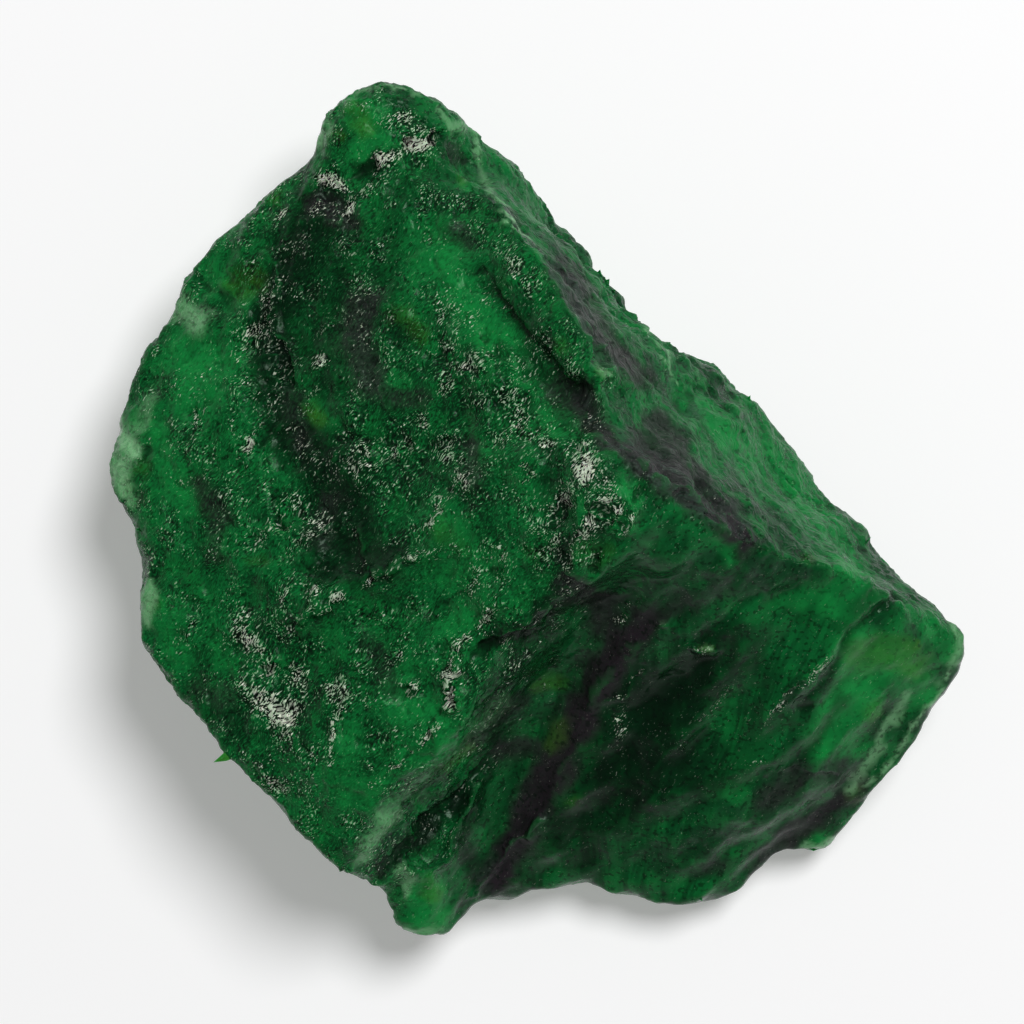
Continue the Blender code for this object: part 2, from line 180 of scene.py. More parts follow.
# %% The forms, in millimetres
STEP, RIDGE, GROOVE = "step", "ridge", "groove"
FORMS = [
    ("fuller long edge", RIDGE, [(2.0, 14.8), (3.8, 12.6), (5.3, 10.3)], 1.6, 0.65),
    ("shoulder of the long edge", RIDGE, [(7.1, 8.4), (8.9, 7.6)], 1.6, 1.00),
    ("lower part of the long edge", RIDGE, [(9.9, 7.1), (10.9, 6.1)], 1.0, 0.40),
    ("dip beside the top", GROOVE, [(-3.8, 20.2), (-3.0, 19.4)], 1.0, 0.85),
    ("tip of the spur", RIDGE, [(-7.4, -22.8)], 1.1, 0.80),
    ("right end of the slope", RIDGE, [(17.1, -0.4), (17.9, -1.2)], 1.0, 0.45),
    ("edge of the flap", STEP, [(-3.3, 13.7), (-1.7, 11.5), (-0.4, 9.5), (1.0, 7.7), (2.4, 6.5)], 1.5, 0.32),
    ("tip of the flap", STEP, [(2.7, 6.5), (2.8, 8.1), (2.9, 10.0)], 1.1, 0.50),
    ("chip beside the flap", RIDGE, [(3.1, 7.5), (3.6, 7.6)], 0.5, 0.50),
    ("ledge on the steep slope", STEP, [(4.3, 12.1), (5.9, 11.2), (7.1, 8.8), (7.9, 7.0)], 1.0, 0.45),
    ("low ledge on the steep slope", STEP, [(8.7, 2.3), (10.6, -0.4), (11.5, -1.8)], 0.9, 0.35),
    ("bank of the dark trough", STEP, [(-14.6, 14.3), (-15.2, 11.0), (-14.2, 9.0), (-13.7, 7.5), (-14.2, 5.4), (-15.6, 3.2)], 2.3, 0.28),
    ("bank of the second trough", STEP, [(-8.9, 9.8), (-9.2, 7.7), (-8.5, 5.9), (-7.5, 4.4)], 1.5, 0.25),
    ("brow below the top", STEP, [(-11.1, 18.5), (-10.1, 19.1), (-8.2, 20.3), (-5.4, 21.1), (-3.7, 21.5)], 1.2, 0.45),
    ("short brow", STEP, [(-13.5, 17.4), (-12.4, 18.1), (-11.4, 18.7)], 0.9, 0.35),
    ("lip over the gully", STEP, [(-4.7, -8.9), (-3.0, -7.1), (-1.5, -6.6), (0.2, -6.2), (0.9, -4.7)], 1.2, 0.55),
    ("fold across the plateau", RIDGE, [(-6.3, -2.1), (-7.9, -2.9), (-9.5, -3.7), (-10.7, -4.3), (-13.0, -5.6)], 0.5, 0.30),
    ("small fold", RIDGE, [(-15.3, -1.6), (-14.5, -1.1), (-13.6, -0.7)], 0.4, 0.24),
    ("next small fold", RIDGE, [(-13.0, -1.5), (-12.1, -1.2), (-11.3, -0.7)], 0.3, 0.22),
    ("fold at the dark hollow", RIDGE, [(-5.8, -0.4), (-5.0, 0.5), (-4.1, 1.5)], 0.5, 0.26),
    ("upright fold", RIDGE, [(-12.2, -4.0), (-12.1, -5.0), (-12.5, -5.8)], 0.3, 0.22),
    ("fold by the left tip", RIDGE, [(-15.1, 5.1), (-15.8, 4.0), (-16.4, 3.0)], 0.4, 0.22),
    ("fold over the dark hollow", RIDGE, [(-9.8, 1.8), (-8.9, 2.7), (-7.9, 3.6)], 0.5, 0.25),
    ("lump over the lip", RIDGE, [(-2.8, -5.3), (-2.1, -4.7)], 0.6, 0.35),
    ("upright ridge by the lip", RIDGE, [(-4.2, -6.9), (-4.7, -8.7), (-4.8, -10.4)], 0.5, 0.32),
    ("low ridge near the edge", RIDGE, [(-11.4, -11.7), (-11.2, -12.9), (-11.4, -14.0)], 0.3, 0.24),
    ("crack across the plateau", GROOVE, [(-10.9, 3.9), (-8.6, 4.1), (-5.8, 3.6), (-2.6, 4.1)], 0.3, 0.22),
    ("crack from the left edge", GROOVE, [(-20.2, 13.7), (-17.9, 12.2), (-16.9, 11.1)], 0.3, 0.22),
    ("crease at the left tip", GROOVE, [(-22.1, 4.1), (-22.2, 2.4), (-22.7, 0.7)], 0.3, 0.20),
    ("pebble at the left edge", RIDGE, [(-21.1, -4.9), (-20.7, -5.8)], 1.2, 0.35),
    ("groove under the pebble", GROOVE, [(-21.2, -7.4), (-19.8, -6.7)], 0.3, 0.25),
    ("top of the knob", RIDGE, [(3.0, 2.7), (2.7, 1.3)], 1.4, 0.90),
    ("spine of the knob", RIDGE, [(2.6, 0.7), (2.3, -0.9), (2.0, -2.9)], 0.7, 0.50),
    ("left lump of the knob", RIDGE, [(-0.5, -0.6), (0.7, -1.1)], 0.8, 0.50),
    ("right lump of the knob", RIDGE, [(4.7, 0.2), (4.7, -0.8)], 0.6, 0.45),
    ("left crevice of the knob", GROOVE, [(0.5, 3.3), (0.7, 1.7), (1.2, 0.2)], 0.7, 0.22),
    ("right crevice of the knob", GROOVE, [(5.4, 1.1), (4.1, -0.9), (3.6, -2.1)], 0.3, 0.40),
    ("middle crevice of the knob", GROOVE, [(3.4, 0.0), (3.2, -1.5), (3.0, -3.0)], 0.3, 0.40),
    ("long ledge on the ribbed face", STEP, [(12.7, -11.9), (13.5, -10.6), (14.6, -9.5), (16.2, -7.9)], 0.7, 0.30),
    ("crack on the ribbed face", GROOVE, [(14.7, -11.1), (16.2, -8.8), (17.3, -6.6), (20.1, -4.6)], 0.3, 0.28),
    ("second crack on the ribbed face", GROOVE, [(8.9, -7.0), (11.1, -5.0), (14.3, -4.3)], 0.3, 0.18),
    ("block on the ribbed face", RIDGE, [(8.8, -7.4), (9.6, -7.5)], 0.4, 0.38),
    ("small block", RIDGE, [(6.9, -6.0), (7.2, -6.1)], 0.3, 0.28),
    ("edge above the lobe", STEP, [(13.8, -14.4), (15.5, -14.6), (17.3, -15.1)], 0.6, 0.25),
    ("ridge by the gully", RIDGE, [(8.3, -5.0), (5.6, -7.6), (3.3, -9.9)], 0.7, 0.25),
    ("second ridge by the gully", RIDGE, [(5.9, -8.9), (4.9, -9.9), (3.9, -10.6)], 0.3, 0.20),
    ("rib in the gully", RIDGE, [(-3.4, -15.4), (-4.5, -17.5), (-5.3, -19.7)], 0.3, 0.28),
    ("second rib in the gully", RIDGE, [(0.2, -17.5), (-2.2, -19.7), (-3.6, -21.8)], 0.3, 0.28),
    ("wall under the ramp", STEP, [(-9.3, -20.1), (-7.2, -17.6), (-5.0, -16.1), (-3.4, -14.5), (-2.1, -12.7)], 0.8, 0.60),
    ("band on the wall", GROOVE, [(-3.4, -12.9), (-4.8, -14.3), (-6.4, -16.0)], 0.4, 0.30),
    ("glassy facets of the spur", RIDGE, [(-7.5, -19.9), (-6.8, -20.2)], 0.5, 0.40),
    ("lower facet of the spur", RIDGE, [(-7.6, -21.2), (-7.2, -21.4)], 0.5, 0.30),
]
print("forms:", len(FORMS))

# %% Shape helpers
def points_and_normals(mesh):
    points = np.empty(len(mesh.vertices) * 3)
    normals = np.empty(len(mesh.vertices) * 3)
    mesh.vertices.foreach_get("co", points)
    mesh.vertices.foreach_get("normal", normals)
    return points.reshape(-1, 3), normals.reshape(-1, 3)


def soft_step(values, low, high):
    share = np.clip((values - low) / (high - low), 0, 1)
    return share * share * (3 - 2 * share)


def distance_to_line(places, line):
    """How far each place is from a line of points, seen from above."""
    line = np.array(line, float)
    if len(line) == 1:
        return np.linalg.norm(places - line[0], axis=1)
    nearest = np.full(len(places), 1e9)
    for start, end in zip(line[:-1], line[1:]):
        along = end - start
        share = np.clip((places - start) @ along / (along @ along), 0, 1)
        nearest = np.minimum(nearest, np.linalg.norm(places - start - share[:, None] * along, axis=1))
    return nearest


def put_attribute(mesh, name, values):
    layer = mesh.attributes.get(name) or mesh.attributes.new(name, "FLOAT", "POINT")
    layer.data.foreach_set("value", values.astype(np.float32))


def side_of_line(places, line):
    """Signed distance from a line, positive on its left, and how much of the line's ends to keep."""
    line = np.array(line, float)
    lengths = np.linalg.norm(line[1:] - line[:-1], axis=1)
    travelled = np.concatenate(([0.0], np.cumsum(lengths)))
    nearest = np.full(len(places), 1e9)
    signed = np.zeros(len(places))
    station = np.zeros(len(places))
    for index, (start, end) in enumerate(zip(line[:-1], line[1:])):
        along = end - start
        offset = places - start
        share = np.clip(offset @ along / (along @ along), 0, 1)
        reach = np.linalg.norm(offset - share[:, None] * along, axis=1)
        left = along[0] * offset[:, 1] - along[1] * offset[:, 0]
        closer = reach < nearest
        nearest[closer] = reach[closer]
        signed[closer] = (reach * np.where(left < 0, -1, 1))[closer]
        station[closer] = (travelled[index] + share * lengths[index])[closer]
    taper = min(0.8, travelled[-1] * 0.3)
    ends = soft_step(station, 0, taper) * soft_step(travelled[-1] - station, 0, taper)
    return signed, ends


def form_height(places, kind, line, reach, height):
    if kind == STEP:
        side, ends = side_of_line(places, line)
        fade = np.clip(1 - np.abs(side) / reach, 0, 1) ** 1.5
        return height * (soft_step(side, -0.16, 0.16) - 0.5) * fade * ends
    nearness = np.exp(-((distance_to_line(places, line) / reach) ** 2))
    return (height if kind == RIDGE else -height) * nearness


# %% Raise and sink the forms
points, normals = points_and_normals(stone.data)
wander = np.array([noise.noise_vector(Vector(p) / 1.3) for p in points])
fine_wander = np.array([noise.noise_vector(Vector(p) / 0.45) for p in points])
bent = points[:, :2] + wander[:, :2] * 0.30 + fine_wander[:, :2] * 0.12
lift = np.zeros(len(points))
for title, kind, line, reach, height in FORMS:
    lift += form_height(bent, kind, line, reach, height)
broad_normals = averaged(normals, pairs, 12, 0.6)
broad_normals /= np.linalg.norm(broad_normals, axis=1)[:, None]
lift *= soft_step(broad_normals[:, 2], 0.0, 0.25)
shaped = points + lift[:, None] * broad_normals
stone.data.vertices.foreach_set("co", shaped.ravel())
stone.data.update()
print("forms lift the skin between", round(float(lift.min()), 2), "and", round(float(lift.max()), 2), "mm")

# %% [markdown]
# ### Zones of colour and breakage
# The green isn't even. Dark seams run through the stone, and the dark zones also hold painted shade
# in creases and crevices, under the flap's edge and under the lip over the gully. Grey-purple veils
# lie on the weathered breaks, and a few spots have yellow stains. The pale zone paints the light that
# thin edges let through, highlights along a few lit ridges and a faint sheen on the ramp. The bright
# zones are clearer green, with a painted sheen on two lumps of the plateau, and the wisps lay grey
# fibres with a painted sheen on the steep slope and the ramp. Some patches are freshly broken and
# full of tiny mirrors, whose glints are painted as pale flecks in the finish. Each zone is painted
# as short strokes: a line of points in millimetres seen from above, a width and a strength. The
# points are shifted by noise before they are measured, so that no stroke keeps a drawn edge.

# %% The strokes of each zone
ZONES = {
    "dark": [
        ([(5.6, -9.9), (8.4, -8.6), (10.8, -7.6)], 1.7, 0.70),
        ([(4.0, -14.8), (6.9, -15.6), (9.4, -13.9)], 1.9, 0.65),
        ([(1.2, -7.0), (-0.4, -9.9), (-2.6, -12.6)], 0.8, 0.60),
        ([(8.5, 6.5), (9.8, 3.5), (11.2, 1.5)], 0.3, 0.60),
        ([(-1.0, 8.8), (0.5, 6.8), (1.4, 5.0)], 0.5, 0.55),
        ([(18.9, -4.3), (16.7, -6.4)], 0.5, 0.50),
        ([(17.2, -10.5), (15.4, -13.0), (14.2, -15.7)], 0.5, 0.60),
        ([(1.1, -4.6), (-0.5, -8.0), (-2.8, -11.0)], 0.9, 0.60),
        ([(-12.3, 17.1), (-13.9, 13.9), (-14.7, 10.7), (-14.8, 7.4), (-14.0, 4.5)], 1.5, 0.85),
        ([(-10.7, 15.9), (-11.8, 12.3), (-12.2, 9.0), (-11.5, 7.0)], 1.4, 0.55),
        ([(-9.9, 19.3), (-9.2, 18.9)], 0.7, 0.80),
        ([(-7.8, 17.9), (-8.3, 14.5), (-8.5, 11.1), (-7.7, 9.9)], 1.0, 0.50),
        ([(-5.1, 20.6), (-4.5, 20.0)], 0.5, 0.70),
        ([(-12.5, 3.6), (-11.2, 1.8), (-10.3, -0.4), (-11.5, -2.6), (-9.1, -2.6)], 1.9, 0.85),
        ([(-7.8, -2.4), (-5.4, -1.5)], 0.8, 0.45),
        ([(-19.0, 1.8), (-17.9, 0.0)], 0.9, 0.60),
        ([(-19.0, -9.9), (-17.2, -11.7)], 1.0, 0.55),
        ([(-13.3, -12.8), (-15.4, -14.8)], 0.6, 0.25),
        # Painted shadow under the flap's edge, in this stroke and the next.
        ([(-2.9, 13.2), (-1.0, 10.4), (0.7, 7.7), (2.3, 6.3)], 0.7, 0.45),
        ([(-1.0, 11.5), (0.3, 9.1)], 0.7, 0.50),
        # Painted shade in the knob's crevices, in this stroke and the next.
        ([(0.5, 3.3), (0.5, 1.2), (1.1, -0.4)], 0.7, 0.55),
        ([(3.2, -0.9), (1.6, -1.7), (1.1, -2.5)], 0.6, 0.85),
        # Painted shadow under the lip over the gully.
        ([(-2.6, -6.9), (-1.0, -6.5), (0.3, -5.4)], 0.7, 0.95),
        ([(1.6, -4.2), (3.8, -5.5)], 1.0, 0.75),
        ([(5.6, -7.6), (4.0, -9.9), (2.9, -12.2)], 0.8, 0.60),
        ([(6.2, -10.5), (4.9, -13.0), (3.5, -16.3), (2.7, -19.2)], 1.9, 0.80),
        ([(9.0, -9.3), (7.2, -12.2), (5.7, -15.6)], 1.7, 0.75),
        ([(-4.3, -15.9), (-6.1, -17.6), (-7.5, -18.8), (-8.6, -19.9)], 0.7, 0.95),
        ([(-2.1, -13.1), (-3.4, -15.6), (-4.3, -18.3)], 0.8, 0.85),
        ([(-3.9, -19.6), (-2.7, -21.3), (-2.2, -19.2)], 0.8, 0.85),
        ([(1.2, -17.4), (-0.4, -21.0)], 0.9, 0.70),
        ([(14.5, -18.5), (16.7, -17.1), (18.4, -15.9)], 0.7, 0.65),
        ([(20.1, -4.6), (17.3, -6.6), (16.2, -8.8), (14.7, -11.1)], 0.3, 0.65),
        ([(11.6, -2.6), (11.1, -1.8)], 0.5, 0.55),
        ([(8.3, -5.3), (5.6, -7.0)], 0.6, 0.50),
        ([(5.9, 3.9), (8.7, 1.8)], 0.7, 0.50),
        ([(14.5, -9.8), (13.0, -12.4), (11.1, -15.0)], 0.7, 0.40),
        ([(8.7, -2.6), (12.1, -4.2)], 0.6, 0.30),
    ],
    "veil": [
        ([(5.4, 4.0), (8.1, 1.1), (11.0, -1.5)], 0.7, 0.80),
        ([(1.1, 6.6), (3.5, 4.1), (5.7, 2.3)], 0.9, 0.60),
        ([(4.5, -7.0), (2.9, -9.9), (1.6, -12.5)], 1.2, 0.85),
        ([(1.0, -14.5), (-0.3, -17.0), (-1.5, -19.3)], 1.1, 0.85),
        ([(13.1, -16.2), (15.1, -15.0), (16.9, -14.7)], 1.0, 0.70),
        ([(-12.6, 17.4), (-10.4, 16.1)], 0.7, 0.85),
        ([(-9.7, 11.7), (-10.3, 9.2), (-9.2, 7.2)], 1.1, 0.85),
        ([(-8.3, 6.4), (-6.5, 6.2)], 0.7, 0.55),
        ([(-3.7, 3.4), (-3.4, 1.9)], 0.8, 0.70),
        ([(-13.7, 6.5), (-13.2, 4.0)], 0.7, 0.45),
        ([(-11.5, 0.7), (-12.1, -1.5)], 0.7, 0.45),
        ([(-19.1, 1.8), (-17.7, -0.4), (-18.0, -2.2)], 0.7, 0.55),
        ([(-4.6, 15.7), (-3.8, 15.1)], 0.7, 0.55),
        ([(1.3, 13.6), (3.3, 10.0), (5.6, 7.7)], 1.0, 0.85),
        ([(2.1, 6.3), (3.8, 3.9), (6.0, 2.3), (9.5, -0.1), (11.5, -1.5)], 0.9, 0.90),
        ([(6.6, 5.0), (8.2, 2.3), (10.9, -0.9)], 0.9, 0.85),
        ([(5.9, -5.8), (4.0, -8.6), (2.2, -11.7), (1.0, -14.4), (-0.4, -17.0), (-1.5, -19.2), (-2.3, -21.2)], 1.0, 1.00),
        ([(10.1, -4.2), (7.7, -5.1), (5.8, -6.6)], 0.6, 0.60),
        ([(-1.0, -10.5), (-2.4, -11.8), (-3.8, -13.1)], 0.6, 0.65),
        ([(-1.9, -13.5), (0.1, -13.3)], 0.8, 0.75),
        ([(18.4, -15.6), (16.5, -17.1), (14.1, -18.9), (12.7, -20.4)], 0.8, 0.85),
        ([(11.0, -19.9), (9.3, -20.3)], 0.7, 0.50),
        ([(-17.4, -10.4), (-18.6, -9.7)], 0.8, 0.45),
        ([(-8.1, -9.7), (-9.1, -7.0)], 0.7, 0.35),
        ([(1.5, -3.9), (3.7, -5.1), (3.4, -6.4)], 0.8, 0.70),
    ],
    "wisp": [
        ([(-3.5, 20.9), (-3.0, 18.6), (-1.6, 16.9), (0.4, 14.8), (1.8, 12.1), (2.8, 9.3)], 0.8, 0.90),
        ([(3.1, 15.5), (5.1, 12.1), (7.2, 9.3), (8.5, 6.5)], 1.4, 0.80),
        ([(2.7, 6.3), (4.3, 3.9), (7.0, 1.7), (10.9, -0.9)], 1.0, 0.90),
        ([(8.5, 6.3), (9.6, 4.2), (11.5, 2.4)], 1.1, 0.55),
        ([(11.5, 2.4), (14.5, -0.4), (17.6, -2.5), (18.9, -4.3)], 1.0, 0.45),
        ([(-1.2, -9.8), (-3.5, -12.5), (-6.0, -14.3), (-8.0, -16.3), (-9.9, -19.6)], 0.6, 0.85),
        ([(-5.0, -16.0), (-7.2, -17.5), (-9.3, -20.1)], 0.3, 0.70),
        ([(0.4, -9.9), (-1.3, -11.6), (1.2, -10.5)], 0.5, 0.45),
        ([(-3.4, -15.4), (-4.5, -17.5), (-5.3, -19.7), (-6.1, -21.0)], 0.2, 0.65),
        ([(0.2, -17.5), (-2.2, -19.7), (-3.6, -21.8)], 0.2, 0.55),
        ([(8.7, -2.6), (12.1, -3.7), (15.4, -3.1)], 0.8, 0.40),
        ([(8.8, -4.8), (6.2, -8.1)], 0.9, 0.35),
        ([(13.8, -14.4), (15.5, -14.6), (17.3, -15.0)], 0.2, 0.60),
        ([(5.8, -19.8), (9.2, -18.0), (12.5, -16.2)], 0.9, 0.40),
        ([(-22.9, 4.2), (-23.3, 2.4)], 0.6, 0.35),
        ([(-20.6, 11.0), (-19.0, 10.7)], 0.8, 0.60),
        ([(-6.0, 22.7), (-4.3, 21.5)], 0.6, 0.45),
    ],
    "bright": [
        ([(17.9, -7.1), (17.2, -10.5), (17.7, -12.9)], 1.1, 0.70),
        ([(16.9, -13.5), (16.1, -15.3)], 0.7, 0.60),
        ([(20.4, -5.5), (19.5, -8.2), (18.8, -10.5)], 0.7, 0.55),
        # Clearer green with a painted sheen on this lump of the plateau.
        ([(-5.4, 13.8), (-4.0, 11.6), (-3.2, 9.9)], 1.5, 0.80),
        ([(-2.1, 9.1), (0.0, 6.9), (0.9, 5.5)], 1.2, 0.60),
        ([(-10.5, 22.7), (-9.2, 21.8), (-9.6, 20.1)], 1.1, 0.95),
        ([(-6.9, 15.5), (-5.4, 15.9)], 0.7, 0.45),
        ([(-4.6, 19.1), (-3.8, 18.4)], 0.7, 0.50),
        ([(-17.5, 14.2), (-18.4, 12.5), (-16.7, 11.9)], 0.9, 0.55),
        ([(-19.8, 9.4), (-18.0, 8.2), (-19.1, 6.7)], 1.7, 0.80),
        ([(-21.8, 5.2), (-20.8, 2.4), (-19.8, 0.7)], 1.1, 0.85),
        ([(-12.5, 5.9), (-11.5, 4.8)], 0.8, 0.60),
        # Clearer green with a painted sheen on this lump of the plateau.
        ([(-7.7, -10.6), (-5.7, -11.4), (-6.6, -13.1)], 1.5, 0.75),
        ([(-7.1, -7.8), (-7.6, -9.7)], 0.7, 0.65),
        ([(-10.3, -12.7), (-11.5, -15.2), (-8.9, -15.8)], 1.2, 0.60),
        ([(-5.0, -0.8), (-3.7, -2.4), (-2.1, -2.6)], 1.1, 0.50),
        ([(-0.3, 0.7), (0.2, 0.4)], 0.7, 0.65),
        ([(4.4, 1.3), (5.0, 0.8)], 0.7, 0.75),
        ([(-5.4, 0.4), (-5.8, -2.6), (-4.7, -3.7)], 0.9, 0.45),
        ([(8.5, 6.0), (10.2, 4.3), (11.8, 3.2)], 1.2, 0.60),
        ([(13.1, 3.5), (14.9, 1.3), (16.5, -1.0)], 1.1, 0.45),
        ([(17.2, -2.6), (18.3, -4.8), (16.6, -5.5)], 1.0, 0.75),
        ([(17.3, -7.6), (20.3, -8.7), (21.5, -10.0)], 1.5, 1.00),
        ([(18.7, -10.0), (16.9, -11.2), (16.0, -12.9)], 1.2, 1.00),
        ([(22.0, -6.0), (23.2, -7.7)], 0.9, 0.70),
        ([(14.4, -4.8), (16.0, -4.3)], 0.8, 0.60),
        ([(12.4, -13.0), (11.1, -15.6)], 0.7, 0.45),
        ([(16.2, -18.9), (15.3, -18.6)], 0.8, 0.85),
        ([(-6.2, -21.3), (-5.8, -23.0), (-6.7, -23.7)], 1.1, 0.95),
        ([(-21.7, -4.9), (-20.5, -6.5), (-20.1, -8.2)], 0.9, 0.60),
        ([(-15.9, -8.7), (-17.7, -7.6)], 0.8, 0.35),
        ([(-11.5, -7.0), (-10.3, -7.5)], 0.6, 0.35),
        ([(-8.4, -14.5), (-9.8, -15.5)], 0.6, 0.70),
        ([(9.8, -1.7), (10.3, -2.2)], 0.5, 0.75),
        ([(-3.7, -5.1), (-5.4, -6.9)], 0.8, 0.50),
    ],
    "yellow": [
        ([(-16.9, 12.8), (-16.1, 13.0)], 0.9, 0.55),
        ([(-15.9, 12.8)], 0.2, 1.00),
        ([(-14.9, 17.7)], 0.5, 0.75),
        ([(-10.3, 22.5), (-9.6, 21.4)], 0.7, 0.60),
        ([(-11.3, 20.9)], 0.4, 0.80),
        ([(-11.8, 20.9)], 0.2, 0.90),
        ([(-4.1, 18.7)], 0.4, 0.50),
        ([(-12.5, 5.6)], 0.2, 1.00),
        ([(-12.8, 5.8), (-12.1, 5.3)], 0.5, 0.55),
        ([(-7.4, 10.7), (-6.7, 10.0)], 0.8, 0.45),
        ([(-23.0, 1.6)], 0.4, 0.80),
        ([(-22.3, 2.4)], 0.5, 0.45),
        ([(-21.5, -5.2)], 0.5, 0.50),
        ([(-15.6, -2.8)], 0.5, 0.45),
        ([(17.9, -7.9), (20.2, -7.7), (21.2, -8.7)], 1.0, 0.55),
        ([(21.2, -7.2)], 0.3, 0.90),
        ([(18.9, -11.2)], 0.8, 0.35),
        ([(1.3, -12.0), (0.8, -12.8)], 0.6, 0.50),
        ([(2.0, -16.4)], 0.5, 0.50),
        ([(0.2, -9.6), (1.0, -9.4)], 0.5, 0.45),
        ([(-3.8, -13.2), (-5.2, -14.4)], 0.4, 0.45),
        ([(-6.1, -21.0), (-5.8, -21.7)], 0.5, 0.55),
        ([(9.2, -7.4)], 0.3, 0.70),
        ([(3.4, 7.6)], 0.3, 0.80),
        ([(1.1, 9.0)], 0.5, 0.40),
        ([(2.4, -2.3), (3.6, -2.3)], 0.5, 0.40),
        ([(-0.5, -2.3)], 0.5, 0.35),
        ([(-4.6, -1.8), (-5.4, -0.7)], 0.7, 0.25),
        ([(18.1, -16.0)], 0.6, 0.30),
        ([(14.9, -2.6)], 0.5, 0.30),
    ],
    "pale": [
        ([(-23.7, 5.2), (-23.7, 3.4), (-23.1, 1.4)], 0.7, 0.60),
        ([(-22.1, 12.1), (-22.8, 9.8), (-23.4, 7.6)], 0.6, 0.45),
        ([(-19.0, 17.1), (-20.5, 15.1), (-21.5, 13.3)], 0.4, 0.45),
        ([(20.8, -10.6), (19.5, -13.2), (17.9, -15.8)], 0.3, 0.45),
        ([(-23.4, 4.1), (-22.9, 3.4)], 0.6, 0.95),
        ([(-23.9, 2.5), (-23.5, 1.6)], 0.5, 0.85),
        ([(-23.1, 0.7)], 0.4, 0.60),
        ([(-20.2, 11.5), (-19.2, 10.7)], 0.8, 0.70),
        ([(-12.5, 22.5), (-12.3, 20.7)], 0.5, 0.80),
        ([(-21.9, -4.4), (-21.8, -6.0)], 0.5, 0.75),
        ([(23.6, -5.7), (23.9, -7.2), (23.7, -8.4)], 0.3, 0.55),
        ([(23.3, -9.0), (22.1, -11.6), (20.1, -14.0), (18.8, -15.9)], 0.1, 0.65),
        ([(17.3, -18.8), (16.5, -19.2), (15.1, -19.3)], 0.2, 0.70),
        ([(-7.4, -21.3), (-7.5, -20.0)], 0.4, 0.55),
        ([(-7.3, -23.8), (-5.6, -24.0)], 0.3, 0.45),
        ([(3.3, 7.6), (3.7, 7.4)], 0.2, 0.70),
        ([(-9.9, -19.4), (-9.2, -18.5), (-8.1, -16.9)], 0.5, 0.45),
        # Painted highlights along lit ridges, in this stroke and the next.
        ([(-2.1, 16.4), (-0.5, 15.0)], 0.1, 0.80),
        ([(5.8, 11.3), (7.1, 8.8), (7.7, 7.2)], 0.1, 0.55),
        ([(9.2, -7.4)], 0.2, 0.80),
        ([(7.0, -6.1)], 0.2, 0.45),
        ([(-10.2, 23.5), (-8.6, 23.9), (-6.6, 23.6)], 0.1, 0.50),
        # Faint painted sheen on the ramp.
        ([(-1.9, -10.5), (-3.8, -12.7), (-6.0, -14.5), (-8.1, -16.5), (-9.7, -18.8)], 0.5, 0.14),
        ([(-5.5, 22.7), (-3.8, 21.2), (-3.1, 18.7), (-1.7, 17.0)], 0.2, 0.45),
        ([(-22.6, 4.6), (-21.8, 6.3)], 0.5, 0.35),
    ],
    "glint": [
        ([(-8.9, 19.3), (-7.7, 20.0), (-6.0, 20.8)], 0.5, 1.00),
        ([(-8.6, 21.8), (-7.0, 21.9), (-6.6, 20.9)], 0.6, 0.60),
        ([(-12.4, 18.7), (-11.0, 18.0)], 0.6, 1.00),
        ([(-10.7, 17.0), (-9.7, 17.9)], 0.5, 1.00),
        ([(-12.4, 17.1), (-10.4, 16.5)], 0.7, 0.60),
        ([(-10.4, 22.7), (-9.2, 22.7)], 0.4, 0.55),
        ([(-14.3, 16.9), (-14.7, 16.7)], 0.3, 0.70),
        ([(-10.4, 13.1), (-9.8, 12.7)], 0.5, 0.45),
        ([(-11.6, 10.4), (-12.4, 9.7)], 0.2, 1.00),
        ([(-12.6, 8.8), (-12.1, 8.5)], 0.3, 0.90),
        ([(-16.3, 9.9), (-15.8, 10.2)], 0.6, 0.55),
        ([(-15.3, 4.9), (-15.8, 4.0), (-16.2, 3.4)], 0.3, 1.00),
        ([(-14.4, 4.5), (-14.1, 4.7)], 0.3, 0.70),
        ([(-13.4, 3.8)], 0.3, 0.60),
        ([(-19.5, 5.6), (-19.0, 4.7)], 0.2, 0.75),
        ([(-18.8, 7.7)], 0.2, 0.80),
        ([(-14.9, 12.4), (-15.0, 10.2), (-14.5, 7.4)], 0.6, 0.30),
        ([(-9.6, 2.1), (-8.3, 3.3)], 0.5, 1.00),
        ([(-12.1, 2.3), (-10.3, 2.8), (-8.2, 4.0), (-6.5, 4.8)], 0.8, 0.55),
        ([(-5.9, -0.4), (-5.2, 0.8), (-4.3, 1.7)], 0.5, 0.95),
        ([(-15.6, -1.5), (-14.8, -0.9), (-14.2, -0.5)], 0.5, 0.95),
        ([(-13.2, -1.7), (-12.4, -1.2), (-11.4, -0.6)], 0.4, 0.75),
        ([(-13.2, 0.7), (-11.8, -0.4)], 0.7, 0.45),
        ([(-6.6, -2.3), (-8.1, -2.9)], 0.3, 1.00),
        ([(-8.9, -3.7), (-9.4, -4.0)], 0.3, 0.90),
        ([(-10.5, -4.6), (-12.1, -5.4), (-13.2, -5.7)], 0.3, 1.00),
        ([(-12.3, -4.1), (-12.6, -5.1)], 0.3, 1.00),
        ([(-13.7, -4.5), (-14.3, -5.0)], 0.2, 0.80),
        ([(-15.9, -6.0), (-13.6, -6.2)], 0.9, 0.65),
        ([(-15.9, -8.1), (-15.3, -10.3), (-13.9, -11.5)], 1.2, 0.72),
        ([(-13.6, -8.8), (-13.1, -10.3), (-14.3, -11.0)], 0.8, 0.60),
        ([(-16.5, -6.6), (-15.8, -7.6)], 0.6, 0.80),
        ([(-11.7, -9.7), (-10.7, -9.4), (-11.1, -10.9)], 0.6, 0.65),
        ([(-11.3, -11.9), (-11.3, -13.9)], 0.3, 0.95),
